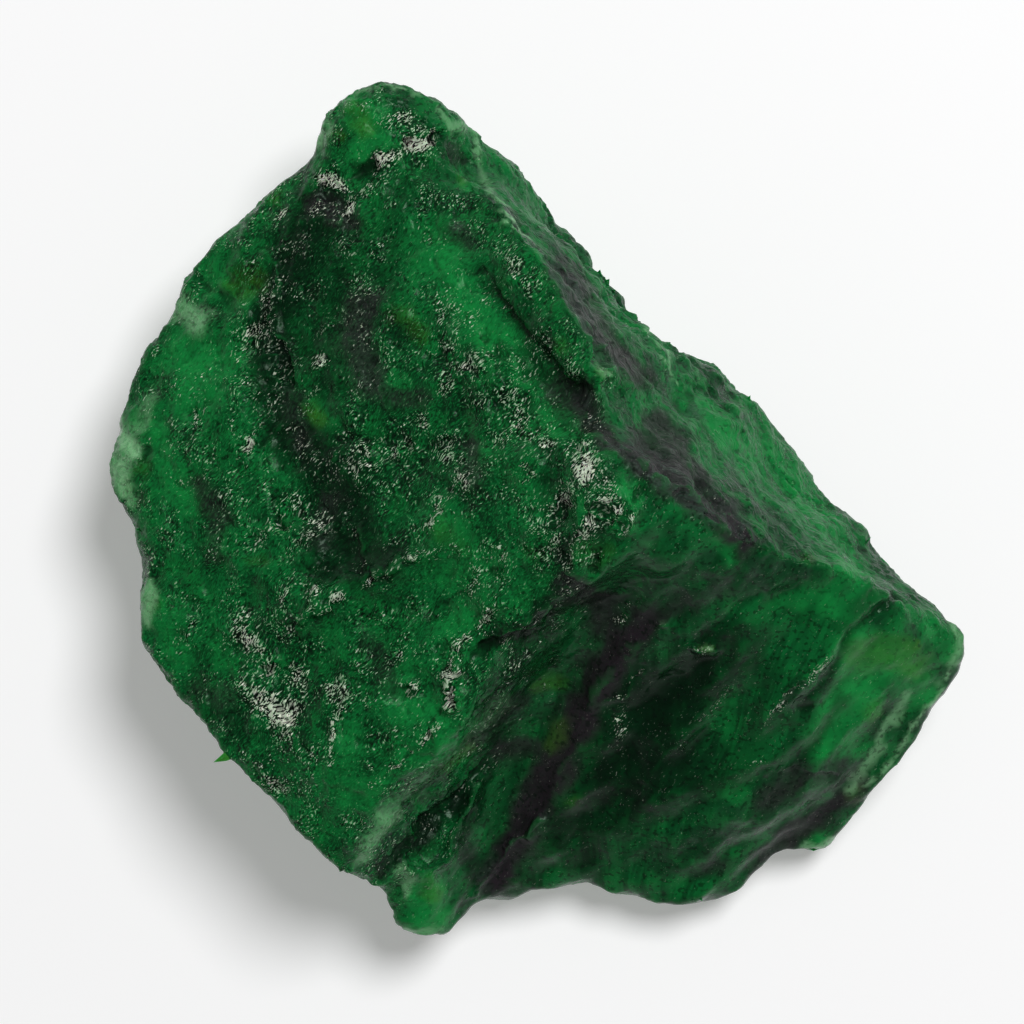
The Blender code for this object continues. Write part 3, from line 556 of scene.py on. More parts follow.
        ([(-8.1, -8.1), (-6.3, -7.4)], 0.5, 0.60),
        ([(-7.4, -9.4), (-6.8, -9.6)], 0.5, 0.75),
        ([(-13.3, -13.0), (-12.8, -13.5)], 0.4, 0.70),
        ([(-14.9, -14.1), (-14.3, -15.4)], 0.5, 0.60),
        ([(-15.9, -14.5)], 0.2, 0.90),
        ([(-2.9, -5.5), (-2.1, -4.7)], 0.5, 0.95),
        ([(-4.7, -8.1), (-4.8, -9.3), (-4.7, -10.4)], 0.4, 1.00),
        ([(-4.3, -6.9), (-4.5, -8.0)], 0.6, 0.55),
        ([(-3.9, -6.5), (-3.5, -5.9)], 0.3, 0.60),
        ([(-5.3, -11.6), (-6.4, -12.5), (-7.6, -13.9), (-9.4, -15.1)], 0.2, 0.95),
        ([(-10.4, -16.5), (-10.6, -17.5)], 0.5, 0.35),
        ([(1.9, 3.2), (2.7, 2.3), (2.8, 0.7)], 0.8, 1.00),
        ([(1.4, 1.4), (0.9, 0.1)], 0.5, 0.80),
        ([(3.4, 1.7), (3.7, 0.1), (3.0, -0.6)], 0.7, 1.00),
        ([(-0.5, -0.5), (0.7, -1.0)], 0.7, 0.95),
        ([(2.2, -1.5), (1.7, -3.1)], 0.5, 1.00),
        ([(2.7, -0.4), (2.7, -2.5)], 0.5, 0.70),
        ([(4.4, -0.9), (4.9, -0.2)], 0.4, 1.00),
        ([(0.3, 3.1), (0.9, 3.9)], 0.5, 0.55),
        ([(-4.7, 10.4), (-2.1, 6.1), (-0.9, 3.4)], 1.9, 0.38),
        ([(-7.6, 9.2), (-3.8, 7.2)], 1.2, 0.34),
        ([(-4.8, 3.4), (-3.2, 2.3)], 0.9, 0.45),
        ([(-1.5, 13.7), (0.0, 11.0)], 0.8, 0.40),
        ([(0.3, 9.3), (1.9, 7.6)], 0.6, 0.45),
        ([(1.1, -2.5), (-2.1, -1.8), (-3.7, -4.2)], 1.0, 0.32),
        ([(16.1, -8.0), (14.5, -9.8), (12.7, -11.7)], 0.3, 0.80),
        ([(10.7, -9.8), (9.3, -11.3)], 0.3, 0.55),
        ([(9.0, -11.6), (8.1, -13.2)], 0.3, 0.40),
        ([(4.8, -11.2), (4.7, -13.2)], 0.3, 0.75),
        ([(5.2, -4.9), (4.2, -5.9)], 0.2, 0.90),
        ([(5.9, -8.9), (4.9, -9.9), (3.9, -10.6)], 0.1, 0.90),
        ([(9.2, -7.4), (8.9, -7.6)], 0.3, 0.90),
        ([(7.0, -6.1)], 0.3, 0.70),
        ([(12.7, -13.9), (12.0, -14.3)], 0.2, 0.60),
        ([(12.9, -11.7)], 0.4, 0.50),
        ([(14.6, -2.6), (14.3, -3.4)], 0.5, 0.35),
        ([(-7.5, -19.9), (-7.1, -20.2)], 0.3, 0.70),
        ([(-7.4, -21.3)], 0.3, 0.85),
        ([(1.2, -11.8)], 0.4, 0.45),
        ([(8.8, 3.6), (9.8, 4.2)], 0.5, 0.25),
        ([(-22.6, 0.7), (-23.0, 1.6)], 0.3, 0.60),
        ([(-19.4, 2.8), (-19.3, 3.4)], 0.3, 0.55),
        ([(-19.9, -7.1), (-19.0, -6.0)], 0.5, 0.45),
        ([(-17.6, -2.6), (-16.7, -1.8)], 0.5, 0.40),
        ([(-18.8, -9.9), (-18.6, -10.6)], 0.3, 0.45),
    ],
}
print("strokes:", {name: len(strokes) for name, strokes in ZONES.items()})

# %% Paint the strokes on the skin
STROKE_WANDER = 0.50
points, normals = points_and_normals(stone.data)
seen_from_above = points[:, :2] + wander[:, :2] * STROKE_WANDER + fine_wander[:, :2] * 0.22
upper_side = soft_step(normals[:, 2], -0.35, 0.1)

for name, strokes in ZONES.items():
    bare = np.ones(len(points))
    for line, width, strength in strokes:
        reach = distance_to_line(seen_from_above, line)
        bare *= 1 - strength * (1 - soft_step(reach, width * 0.35, width * 1.35))
    put_attribute(stone.data, name, (1 - bare) * upper_side)
    print(name, "covers", round(float(((1 - bare) * upper_side).mean()) * 100, 1), "% of the stone")

# %% Clouds, mottle and patches
# Noise longer than about 1 mm is kept on the points too, because it is drawn faster from there.
cloud = np.array([noise.fractal(Vector(p) / 4.6, 0.7, 2.0, 3) for p in points])
put_attribute(stone.data, "clouds", soft_step(cloud + 0.25 * wander[:, 0], -0.42, 0.38))
put_attribute(stone.data, "mottle", soft_step(wander[:, 1] + 0.5 * fine_wander[:, 1], -0.45, 0.45))
put_attribute(stone.data, "patches", soft_step(wander[:, 2] + 0.5 * fine_wander[:, 2], -0.05, 0.32))
print("clouds:", round(float(cloud.min()), 2), "to", round(float(cloud.max()), 2))

# %% The long hazy slope and the ribbed corner
# These two follow from which way the skin faces, so they need no strokes.
slope = soft_step(normals @ np.array((0.62, 0.68, 0.38)), 0.62, 0.86) * soft_step(points[:, 2], 1.5, 4.0)
ribbed = soft_step(points @ np.array((0.88, -0.47, 0)), 4.4 - 1.5, 4.4 + 1.5)
ribbed *= 1 - slope
put_attribute(stone.data, "slope", slope)
bent_place = points + wander * 0.25 + fine_wander * 0.12
layer = stone.data.attributes.new("bent", "FLOAT_VECTOR", "POINT")
layer.data.foreach_set("vector", np.ascontiguousarray(bent_place, np.float32).ravel())
put_attribute(stone.data, "ribbed", ribbed)

# %% [markdown]
# ### The broken surface
# Emerald has no good cleavage, so it breaks in lumps, shallow flakes and, along the growth
# direction, in ribs. One Geometry Nodes tree adds them all by pushing each point along its
# normal: noise for lumps, tilted Voronoi cells for flakes, noise stretched along a direction
# for ribs, and a small grain. Every size is a named input of the tree, so the same tree could
# break any other mineral. Sculpting would look as good, but couldn't be made again from a script.

# %% Helpers for node trees
def add(tree, kind, title, **settings):
    """A node with a title and its plain settings."""
    node = tree.nodes.new(kind)
    node.label = title
    for name, value in settings.items():
        setattr(node, name, value)
    return node


def wire(tree, source, target):
    """Joins source to target, or sets target to a plain value."""
    if isinstance(source, bpy.types.NodeSocket):
        tree.links.new(source, target)
    else:
        target.default_value = source


def math_node(tree, operation, first, second=0.0, third=0.0, title=""):
    node = add(tree, "ShaderNodeMath", title, operation=operation)
    wire(tree, first, node.inputs[0])
    wire(tree, second, node.inputs[1])
    wire(tree, third, node.inputs[2])
    return node.outputs[0]


def vector_math(tree, operation, first, second=(0, 0, 0), title=""):
    node = add(tree, "ShaderNodeVectorMath", title, operation=operation)
    wire(tree, first, node.inputs[0])
    if operation == "SCALE":
        wire(tree, second, node.inputs["Scale"])
    else:
        wire(tree, second, node.inputs[1])
    return node.outputs["Value"] if operation in ("DOT_PRODUCT", "LENGTH") else node.outputs[0]


def noise_node(tree, place, scale, detail=2.0, roughness=0.5, seed=0.0, title="", colour=False):
    """4D noise, so that its fourth number can be the seed."""
    node = add(tree, "ShaderNodeTexNoise", title, noise_dimensions="4D")
    wire(tree, place, node.inputs["Vector"])
    wire(tree, seed, node.inputs["W"])
    wire(tree, scale, node.inputs["Scale"])
    wire(tree, detail, node.inputs["Detail"])
    wire(tree, roughness, node.inputs["Roughness"])
    return node.outputs["Color"] if colour else node.outputs[0]


def spread(tree, value, low, high, to_low=0.0, to_high=1.0, title=""):
    """Map Range with soft ends."""
    node = add(tree, "ShaderNodeMapRange", title, interpolation_type="SMOOTHSTEP")
    wire(tree, value, node.inputs["Value"])
    wire(tree, low, node.inputs["From Min"])
    wire(tree, high, node.inputs["From Max"])
    wire(tree, to_low, node.inputs["To Min"])
    wire(tree, to_high, node.inputs["To Max"])
    return node.outputs["Result"]


def named(tree, name):
    """A painted zone, read back inside Geometry Nodes."""
    node = add(tree, "GeometryNodeInputNamedAttribute", name, data_type="FLOAT")
    node.inputs["Name"].default_value = name
    return node.outputs["Attribute"]


# %% Sizes of the breakage, in millimetres
BREAKAGE = {
    "Seed": 11.0,
    "Lump length": 3.0,
    "Lump height": 0.34,
    "Pit length": 1.3,
    "Pit height": 0.15,
    "Flake length": 1.7,
    "Flake tilt": 0.10,
    "Rib width": 0.80,
    "Rib length": 6.5,
    "Rib height": 0.30,
    "Streak height": 0.32,
    "Grain length": 0.42,
    "Grain height": 0.055,
    "Sink": 0.05,
}

# %% The breakage tree
fracture = bpy.data.node_groups.new("fracture relief", "GeometryNodeTree")
fracture.interface.new_socket("Geometry", in_out="INPUT", socket_type="NodeSocketGeometry")
fracture.interface.new_socket("Geometry", in_out="OUTPUT", socket_type="NodeSocketGeometry")
breakage_sockets = {}
for name, size in BREAKAGE.items():
    socket = fracture.interface.new_socket(name, in_out="INPUT", socket_type="NodeSocketFloat")
    socket.default_value = size
    breakage_sockets[name] = socket.identifier
fracture.interface.new_socket("Material", in_out="INPUT", socket_type="NodeSocketMaterial")

sizes = add(fracture, "NodeGroupInput", "sizes").outputs
place = add(fracture, "GeometryNodeInputPosition", "where").outputs[0]
facing = add(fracture, "GeometryNodeInputNormal", "facing").outputs[0]
seed = sizes["Seed"]


def over(tree, length):
    """Noise scale for a size in millimetres."""
    return math_node(tree, "DIVIDE", 1.0, length)


def centred(tree, value, height):
    """Noise round 0.5 as a height round zero."""
    return math_node(tree, "MULTIPLY", math_node(tree, "SUBTRACT", value, 0.5), height)


bend = noise_node(fracture, place, 0.5, 3.0, 0.55, seed, "bend", colour=True)
bend = vector_math(fracture, "SCALE", vector_math(fracture, "SUBTRACT", bend, (0.5, 0.5, 0.5)), 2.2)
bent_place = vector_math(fracture, "ADD", place, bend, "bent place")

# %% Lumps and pits
smooth_side = math_node(fracture, "MULTIPLY_ADD", named(fracture, "ribbed"), -0.75, 1.0, "ribbed faces break smoothly")
lumps = centred(
    fracture,
    noise_node(fracture, bent_place, over(fracture, sizes["Lump length"]), 4.0, 0.52, seed, "lumps"),
    math_node(fracture, "MULTIPLY", sizes["Lump height"], math_node(fracture, "MULTIPLY", smooth_side, 2.0)),
)
pit_noise = noise_node(fracture, bent_place, over(fracture, sizes["Pit length"]), 2.5, 0.5, seed, "pits")
pit_depth = spread(fracture, pit_noise, 0.36, 0.58, -1.0, 0.0, "only the hollows")
pits = math_node(fracture, "MULTIPLY", pit_depth, sizes["Pit height"])
pits = math_node(fracture, "MULTIPLY", pits, smooth_side)

# %% Flakes: every Voronoi cell is a small plane with its own tilt
def flakes(length, seed_shift, stretch):
    stretched = vector_math(fracture, "MULTIPLY", bent_place, stretch)
    cells = add(fracture, "ShaderNodeTexVoronoi", "flakes", voronoi_dimensions="4D", feature="F1")
    wire(fracture, stretched, cells.inputs["Vector"])
    wire(fracture, math_node(fracture, "ADD", seed, seed_shift), cells.inputs["W"])
    wire(fracture, over(fracture, length), cells.inputs["Scale"])
    from_centre = vector_math(fracture, "SUBTRACT", stretched, cells.outputs["Position"])
    tilt = vector_math(fracture, "SUBTRACT", cells.outputs["Color"], (0.5, 0.5, 0.5))
    return vector_math(fracture, "DOT_PRODUCT", from_centre, tilt)


small_flakes = flakes(sizes["Flake length"], 0.0, (1.0, 1.0, 1.0))
large_flakes = flakes(math_node(fracture, "MULTIPLY", sizes["Flake length"], 2.3), 5.0, (1.0, 0.8, 1.0))
flake_sum = math_node(fracture, "ADD", small_flakes, large_flakes)
fresh = math_node(fracture, "MULTIPLY_ADD", named(fracture, "glint"), 2.0, 0.8)
flake_height = math_node(
    fracture, "MULTIPLY", flake_sum, math_node(fracture, "MULTIPLY", sizes["Flake tilt"], fresh)
)
flake_height = math_node(fracture, "MULTIPLY", flake_height, smooth_side)

# %% Ribs and streaks: noise stretched along the growth direction
straighter = vector_math(fracture, "ADD", place, vector_math(fracture, "SCALE", bend, 0.35), "a little bent")


def stretched_noise(along, across, length, width, seed_shift, title):
    u = math_node(fracture, "DIVIDE", vector_math(fracture, "DOT_PRODUCT", straighter, along), length)
    v = math_node(fracture, "DIVIDE", vector_math(fracture, "DOT_PRODUCT", straighter, across), width)
    split = add(fracture, "ShaderNodeSeparateXYZ", title)
    wire(fracture, bent_place, split.inputs[0])
    join = add(fracture, "ShaderNodeCombineXYZ", title)
    wire(fracture, u, join.inputs[0])
    wire(fracture, v, join.inputs[1])
    wire(fracture, math_node(fracture, "DIVIDE", split.outputs["Z"], length), join.inputs[2])
    shifted = math_node(fracture, "ADD", seed, seed_shift)
    return noise_node(fracture, join.outputs[0], 1.0, 2.5, 0.55, shifted, title)


rib_noise = stretched_noise((0.68, 0.73, 0), (0.73, -0.68, 0), sizes["Rib length"], sizes["Rib width"], 3.0, "ribs")
streak_noise = stretched_noise(
    (0.70, -0.71, 0), (0.35, 0.35, 0.87), sizes["Rib length"], sizes["Rib width"], 7.0, "streaks"
)
rib_share = math_node(fracture, "MULTIPLY_ADD", named(fracture, "ribbed"), 0.85, 0.15)
rib_height = centred(fracture, rib_noise, math_node(fracture, "MULTIPLY", sizes["Rib height"], rib_share))
streak_height = centred(
    fracture, streak_noise, math_node(fracture, "MULTIPLY", sizes["Streak height"], named(fracture, "slope"))
)

# %% Grain
grain_size = over(fracture, sizes["Grain length"])
grain = centred(
    fracture,
    noise_node(fracture, place, grain_size, 2.0, 0.6, seed, "grain"),
    math_node(fracture, "MULTIPLY", sizes["Grain height"], 2.0),
)

# %% Add the heights up and push the points
height = lumps
for part_height in (pits, flake_height, rib_height, streak_height, grain):
    height = math_node(fracture, "ADD", height, part_height)
height = math_node(fracture, "SUBTRACT", height, sizes["Sink"])
push = add(fracture, "GeometryNodeSetPosition", "push")
wire(fracture, sizes["Geometry"], push.inputs["Geometry"])
wire(fracture, vector_math(fracture, "SCALE", facing, height), push.inputs["Offset"])
realize = add(fracture, "GeometryNodeRealizeInstances", "realize")
finish_node = add(fracture, "GeometryNodeSetMaterial", "finish")
wire(fracture, push.outputs["Geometry"], realize.inputs[0])
wire(fracture, realize.outputs[0], finish_node.inputs["Geometry"])
wire(fracture, sizes["Material"], finish_node.inputs["Material"])
output = add(fracture, "NodeGroupOutput", "out")
wire(fracture, finish_node.outputs[0], output.inputs[0])
print("breakage tree:", len(fracture.nodes), "nodes")

# %% [markdown]
# ### The finish
# Real emerald is green all through, so most of its colour comes from inside: it is darker where
# the stone is thick and included, and brighter where it is clear or thin. The surface is a hard
# broken gloss. The finish is one Principled shader with some light carried under the skin.
# Noise at several scales and the painted zones choose the green, and the same zones choose how
# glossy and how rough the break is.

# %% Colours of the stone, as linear light
GREEN = (0.0046, 0.118, 0.0270)
BRIGHT_GREEN = (0.0052, 0.165, 0.0320)
VIVID_GREEN = (0.0080, 0.235, 0.0470)
DEEP_GREEN = (0.0030, 0.0430, 0.0120)
NEAR_BLACK = (0.0024, 0.0070, 0.0040)
VEIL = (0.0230, 0.0165, 0.0225)
FIBRE_AND_SHEEN_GREY = (0.0300, 0.0680, 0.0460)
YELLOW_GREEN = (0.0500, 0.1600, 0.0070)
PALE_GREEN = (0.240, 0.520, 0.260)
GLINT_WHITE = (0.900, 0.980, 0.800)

emerald = bpy.data.materials.new("raw_emerald")
emerald.use_nodes = True
finish = emerald.node_tree
finish.nodes.clear()
stone_shader = add(finish, "ShaderNodeBsdfPrincipled", "stone")
surface = add(finish, "ShaderNodeOutputMaterial", "surface")
wire(finish, stone_shader.outputs[0], surface.inputs["Surface"])
here = add(finish, "ShaderNodeTexCoord", "place").outputs["Object"]
here_mm = vector_math(finish, "SCALE", here, 1 / MM, "in millimetres")


def painted(name):
    node = add(finish, "ShaderNodeAttribute", name, attribute_name=name)
    return node.outputs["Fac"]


def blend_colour(share, first, second, title=""):
    node = add(finish, "ShaderNodeMix", title, data_type="RGBA")
    wire(finish, share, node.inputs["Factor"])
    for value, socket in ((first, node.inputs[6]), (second, node.inputs[7])):
        wire(finish, value if isinstance(value, bpy.types.NodeSocket) else (*value, 1.0), socket)
    return node.outputs[2]


# %% Green from cloudy noise
def shifted(tree, place, seed):
    """The same place in another part of the texture, in place of a seed."""
    return vector_math(tree, "ADD", place, (17.3 * seed, 5.1 * seed, 9.7 * seed), "seed")


def skin_noise(tree, place, scale, detail, roughness, seed, title, colour=False):
    """3D noise, which renders faster than the seeded kind."""
    node = add(tree, "ShaderNodeTexNoise", title, noise_dimensions="3D")
    wire(tree, shifted(tree, place, seed), node.inputs["Vector"])
    node.inputs["Scale"].default_value = scale
    node.inputs["Detail"].default_value = detail
    node.inputs["Roughness"].default_value = roughness
    return node.outputs["Color"] if colour else node.outputs[0]


def streaks(tree, place, along, across, length, width, seed, title):
    """Noise drawn out along one direction, for hazy fibres and growth lines."""
    join = add(tree, "ShaderNodeCombineXYZ", title)
    wire(tree, math_node(tree, "DIVIDE", vector_math(tree, "DOT_PRODUCT", place, along), length), join.inputs[0])
    wire(tree, math_node(tree, "DIVIDE", vector_math(tree, "DOT_PRODUCT", place, across), width), join.inputs[1])
    return skin_noise(tree, join.outputs[0], 1.0, 2.0, 0.6, seed, title)


def tinted(share, amount, colour, title):
    """Mixes colour into the green where share says so."""
    return blend_colour(math_node(finish, "MULTIPLY", share, amount), green, colour, title)


down_slope = streaks(finish, here_mm, (0.70, -0.71, 0), (0.45, 0.45, 0.77), 1.8, 0.17, 1.0, "fibres down the slope")
up_gully = streaks(finish, here_mm, (0.62, 0.78, 0), (0.60, -0.48, 0.64), 4.0, 0.38, 2.0, "growth lines")
fibre = blend_colour(painted("slope"), up_gully, down_slope, "which fibres")
pepper = skin_noise(finish, here_mm, 3.6, 1.0, 0.5, 9.0, "pepper")
mottle = painted("mottle")
green = blend_colour(painted("clouds"), DEEP_GREEN, GREEN, "deep or clear")
green = tinted(spread(finish, mottle, 0.45, 1.0), 0.50, BRIGHT_GREEN, "brighter mottle")
dark_lines = math_node(finish, "MULTIPLY", spread(finish, up_gully, 0.60, 0.42), painted("ribbed"))
green = tinted(dark_lines, 0.75, DEEP_GREEN, "dark growth lines")
uneven = math_node(finish, "MULTIPLY_ADD", mottle, 0.45, 0.55, "no zone is even")
# Bright zones: clearer green, and on two lumps of the plateau a painted sheen.
green = tinted(painted("bright"), uneven, VIVID_GREEN, "bright zones")
# The dark zones are dark stone, and in creases, crevices and under the flap and the lip they are painted shade.
green = tinted(painted("dark"), math_node(finish, "MULTIPLY_ADD", uneven, 0.55, 0.45), NEAR_BLACK, "dark zones")
green = tinted(painted("veil"), 0.95, VEIL, "veils")
# Wisps: grey fibres on the steep slope and the ramp, and with them a painted grey sheen where these steep faces
# reflect the floor.
wisps = math_node(finish, "MULTIPLY", spread(finish, fibre, 0.45, 0.66), painted("wisp"), title="wisps")
green = tinted(wisps, 0.50, FIBRE_AND_SHEEN_GREY, "wisps")
green = tinted(painted("yellow"), math_node(finish, "MULTIPLY", uneven, 0.75), YELLOW_GREEN, "stains")
# Pale: painted light that thin edges let through, painted highlights along a few lit ridges and a faint painted sheen
# on the ramp.
green = tinted(painted("pale"), 0.95, PALE_GREEN, "thin edges")

# %% The finest break: a crinkle along the growth and small flat flakes, with painted shade in its valleys, painted light on its crests and painted glints on the highest crests
def tiny_cells(place, per_mm, seed, title):
    """Heights of flat tilted cells in millimetres, and a random colour for each cell."""
    place = shifted(finish, place, seed)
    cells = add(finish, "ShaderNodeTexVoronoi", title, voronoi_dimensions="3D", feature="F1")
    wire(finish, place, cells.inputs["Vector"])
    wire(finish, per_mm, cells.inputs["Scale"])
    from_centre = vector_math(finish, "SUBTRACT", place, cells.outputs["Position"])
    tilt = vector_math(finish, "SUBTRACT", cells.outputs["Color"], (0.5, 0.5, 0.5))
    return vector_math(finish, "DOT_PRODUCT", from_centre, tilt), cells.outputs["Color"]


bent = add(finish, "ShaderNodeAttribute", "bent place", attribute_name="bent").outputs["Vector"]
drawn_out = add(finish, "ShaderNodeCombineXYZ", "crinkle runs with the growth")
wire(finish, vector_math(finish, "DOT_PRODUCT", bent, (0.20, 0.27, 0)), drawn_out.inputs[0])
wire(finish, vector_math(finish, "DOT_PRODUCT", bent, (0.78, -0.62, 0)), drawn_out.inputs[1])
wire(finish, vector_math(finish, "DOT_PRODUCT", bent, (0, 0, 1)), drawn_out.inputs[2])
crinkle = skin_noise(finish, drawn_out.outputs[0], 12.0, 1.5, 0.6, 1.0, "crinkle")
flakes_height, flakes_random = tiny_cells(here_mm, 3.2, 2.0, "flakes")
dice = add(finish, "ShaderNodeSeparateColor", "random numbers")
wire(finish, flakes_random, dice.inputs[0])
rough_side = math_node(finish, "SUBTRACT", 1.0, math_node(finish, "MAXIMUM", painted("ribbed"), painted("slope")))
patches = painted("patches")
zone_share = math_node(finish, "MULTIPLY", painted("glint"), math_node(finish, "MULTIPLY_ADD", patches, 0.45, 0.55))
sugared = math_node(finish, "MULTIPLY_ADD", patches, 0.75, 0.10, "crinkle outside the zones")
sugared = math_node(finish, "MULTIPLY", sugared, math_node(finish, "MULTIPLY_ADD", rough_side, 0.9, 0.1))
smooth_zone = math_node(finish, "MAXIMUM", painted("bright"), painted("pale"))
speck_room = math_node(finish, "MULTIPLY_ADD", smooth_zone, -0.6, 1.0, "clear zones have few specks")
sugared = math_node(finish, "MULTIPLY", sugared, speck_room)
fresh = math_node(finish, "MULTIPLY_ADD", zone_share, 0.95, sugared)
# Pepper: dark specks, partly dark inclusions and partly painted shade between the grains.
green = tinted(spread(finish, pepper, 0.46, 0.32), math_node(finish, "MULTIPLY", speck_room, 0.65), NEAR_BLACK, "pepper")
# Painted shade and light on the fine relief: the crinkle's valleys are darkened and its crests made brighter green.
valleys = math_node(finish, "MULTIPLY_ADD", zone_share, -0.07, crinkle)
valleys = spread(finish, valleys, 0.50, 0.36, title="bottoms of the crinkle")
dark_or_veiled = math_node(finish, "MAXIMUM", painted("dark"), painted("veil"))
crinkled = math_node(finish, "MULTIPLY_ADD", rough_side, 0.85, 0.15, "the smooth sides hardly crinkle")
lit_crests = math_node(finish, "MULTIPLY", crinkled, math_node(finish, "SUBTRACT", 1.0, dark_or_veiled))
valleys = math_node(finish, "MULTIPLY", valleys, crinkled)
green = tinted(valleys, math_node(finish, "MULTIPLY", speck_room, math_node(finish, "MULTIPLY_ADD", fresh, 0.60, 0.35)), NEAR_BLACK, "dark valleys")
lit_crests = math_node(finish, "MULTIPLY", lit_crests, spread(finish, crinkle, 0.50, 0.62))
green = tinted(lit_crests, math_node(finish, "MULTIPLY_ADD", fresh, 0.45, 0.35), VIVID_GREEN, "painted light on the crests")
# Painted glints: the highest crests of the crinkle get pale flecks in the base colour, which stand in for the glints
# of tiny mirror facets. Each flake's random number moves and dims its painted glint.
facet = math_node(finish, "MULTIPLY_ADD", dice.outputs["Red"], 0.07, -0.035, "some flakes face the light")
crest = math_node(finish, "ADD", crinkle, facet)
strongest = math_node(finish, "MULTIPLY", zone_share, zone_share)
crest = math_node(finish, "MULTIPLY_ADD", zone_share, 0.130, crest)
crest = math_node(finish, "MULTIPLY_ADD", strongest, 0.075, crest)
crest = math_node(finish, "MULTIPLY_ADD", sugared, 0.068, crest)
painted_glint = spread(finish, crest, 0.68, 0.74, title="frosted crests")
shine = math_node(finish, "MULTIPLY", dice.outputs["Green"], dice.outputs["Green"])
shine = math_node(finish, "MULTIPLY_ADD", shine, 0.60, math_node(finish, "MULTIPLY_ADD", strongest, 0.30, 0.30), "each flake shines its own amount")
shine = math_node(finish, "MULTIPLY", shine, spread(finish, fresh, 0.02, 0.60, 0.20, 1.0))
green = tinted(painted_glint, shine, GLINT_WHITE, "painted glints")
# Painted shade in the hollows of the relief and painted light on its high spots.
green = tinted(spread(finish, painted("hollow"), 0.02, 0.16), 0.65, NEAR_BLACK, "painted shade in the hollows")
green = tinted(spread(finish, painted("hollow"), -0.03, -0.16), 0.35, BRIGHT_GREEN, "painted light on high spots")
wire(finish, green, stone_shader.inputs["Base Color"])

# %% Gloss and the finest break
fine_sum = math_node(finish, "MULTIPLY", math_node(finish, "MULTIPLY_ADD", crinkle, 0.10, flakes_height), fresh)
fibre_bump = math_node(finish, "MULTIPLY", fibre, math_node(finish, "MAXIMUM", painted("wisp"), painted("slope")))
fine_sum = math_node(finish, "MULTIPLY_ADD", fibre_bump, 0.30, fine_sum)
break_height = add(finish, "ShaderNodeBump", "fine break")
break_height.inputs["Distance"].default_value = 0.00100
wire(finish, fine_sum, break_height.inputs["Height"])
wire(finish, 1.0, break_height.inputs["Strength"])
wire(finish, break_height.outputs[0], stone_shader.inputs["Normal"])
rough = spread(finish, mottle, 0.0, 1.0, 0.17, 0.27, "uneven gloss")
rough = math_node(finish, "MULTIPLY_ADD", painted("glint"), -0.08, rough)
rough = math_node(finish, "MULTIPLY_ADD", painted("slope"), 0.06, rough)
rough = math_node(finish, "MULTIPLY_ADD", painted("wisp"), 0.06, rough)
rough = math_node(finish, "MULTIPLY_ADD", painted("veil"), 0.10, rough)
wire(finish, rough, stone_shader.inputs["Roughness"])
stone_shader.inputs["IOR"].default_value = 1.58
stone_shader.inputs["Specular IOR Level"].default_value = 0.07
stone_shader.inputs["Specular Tint"].default_value = (0.70, 1.0, 0.78, 1.0)
stone_shader.inputs["Subsurface Weight"].default_value = 0.25
stone_shader.inputs["Subsurface Radius"].default_value = (0.3, 1.0, 0.45)
stone_shader.inputs["Subsurface Scale"].default_value = 0.0007
print("finish:", len(finish.nodes), "nodes")

# %% [markdown]
# ### Break the skin
# The tree goes on as a modifier, its inputs are set by their identifiers, and the result becomes
# a plain mesh. The skin was made finer than the stone needs, and Decimate now takes triangles
# away where the break is flat and leaves them at edges.

# %% Run the tree and thin the mesh
STONE_TRIANGLES = 192000
relief = stone.modifiers.new("fracture relief", "NODES")
relief.node_group = fracture
for name, size in BREAKAGE.items():
    relief[breakage_sockets[name]] = size
material_socket = fracture.interface.items_tree["Material"].identifier
relief[material_socket] = emerald
before = sum(len(face.vertices) - 2 for face in stone.data.polygons)
thin = stone.modifiers.new("thin flat places", "DECIMATE")
thin.ratio = STONE_TRIANGLES / before
replace_mesh(stone, "raw_emerald")
print("stone:", before, "triangles before,", sum(len(f.vertices) - 2 for f in stone.data.polygons), "after")

# %% Hollows and high spots
# A point that lies below the mean of its neighbours sits in a hollow. The finish paints shade into the hollows and
# light onto the high spots.
points, normals = points_and_normals(stone.data)
pairs = np.empty(len(stone.data.edges) * 2, np.int32)
stone.data.edges.foreach_get("vertices", pairs)
pairs = pairs.reshape(-1, 2)
hollow = ((averaged(points, pairs, 9, 0.6) - points) * normals).sum(axis=1)
put_attribute(stone.data, "hollow", hollow)
print("hollows deeper than 0.05 mm:", round(float((hollow > 0.05).mean()) * 100, 1), "%")

# %% Keep it inside the solid's box and put it back in metres
points, normals = points_and_normals(stone.data)
margin = 0.03
low = np.array(cad_low) / MM + (margin, margin, 0.0)
high = np.array(cad_high) / MM - margin
outside = (points < low) | (points > high)
print("points pulled back into the box:", int(outside.any(axis=1).sum()))
stone.data.vertices.foreach_set("co", (np.clip(points, low, high) * MM).ravel())
stone.data.polygons.foreach_set("use_smooth", np.ones(len(stone.data.polygons), bool))
stone.data.update()

# %% [markdown]
# ### Splinters on the edges
# Breaking leaves a few thin splinters standing on the edges. They are too thin for the solid, so
# they are a small piece of their own. Each is a closed spindle with five sides that starts
# inside the stone and tapers to a point. Its height comes from looking straight down at its root.

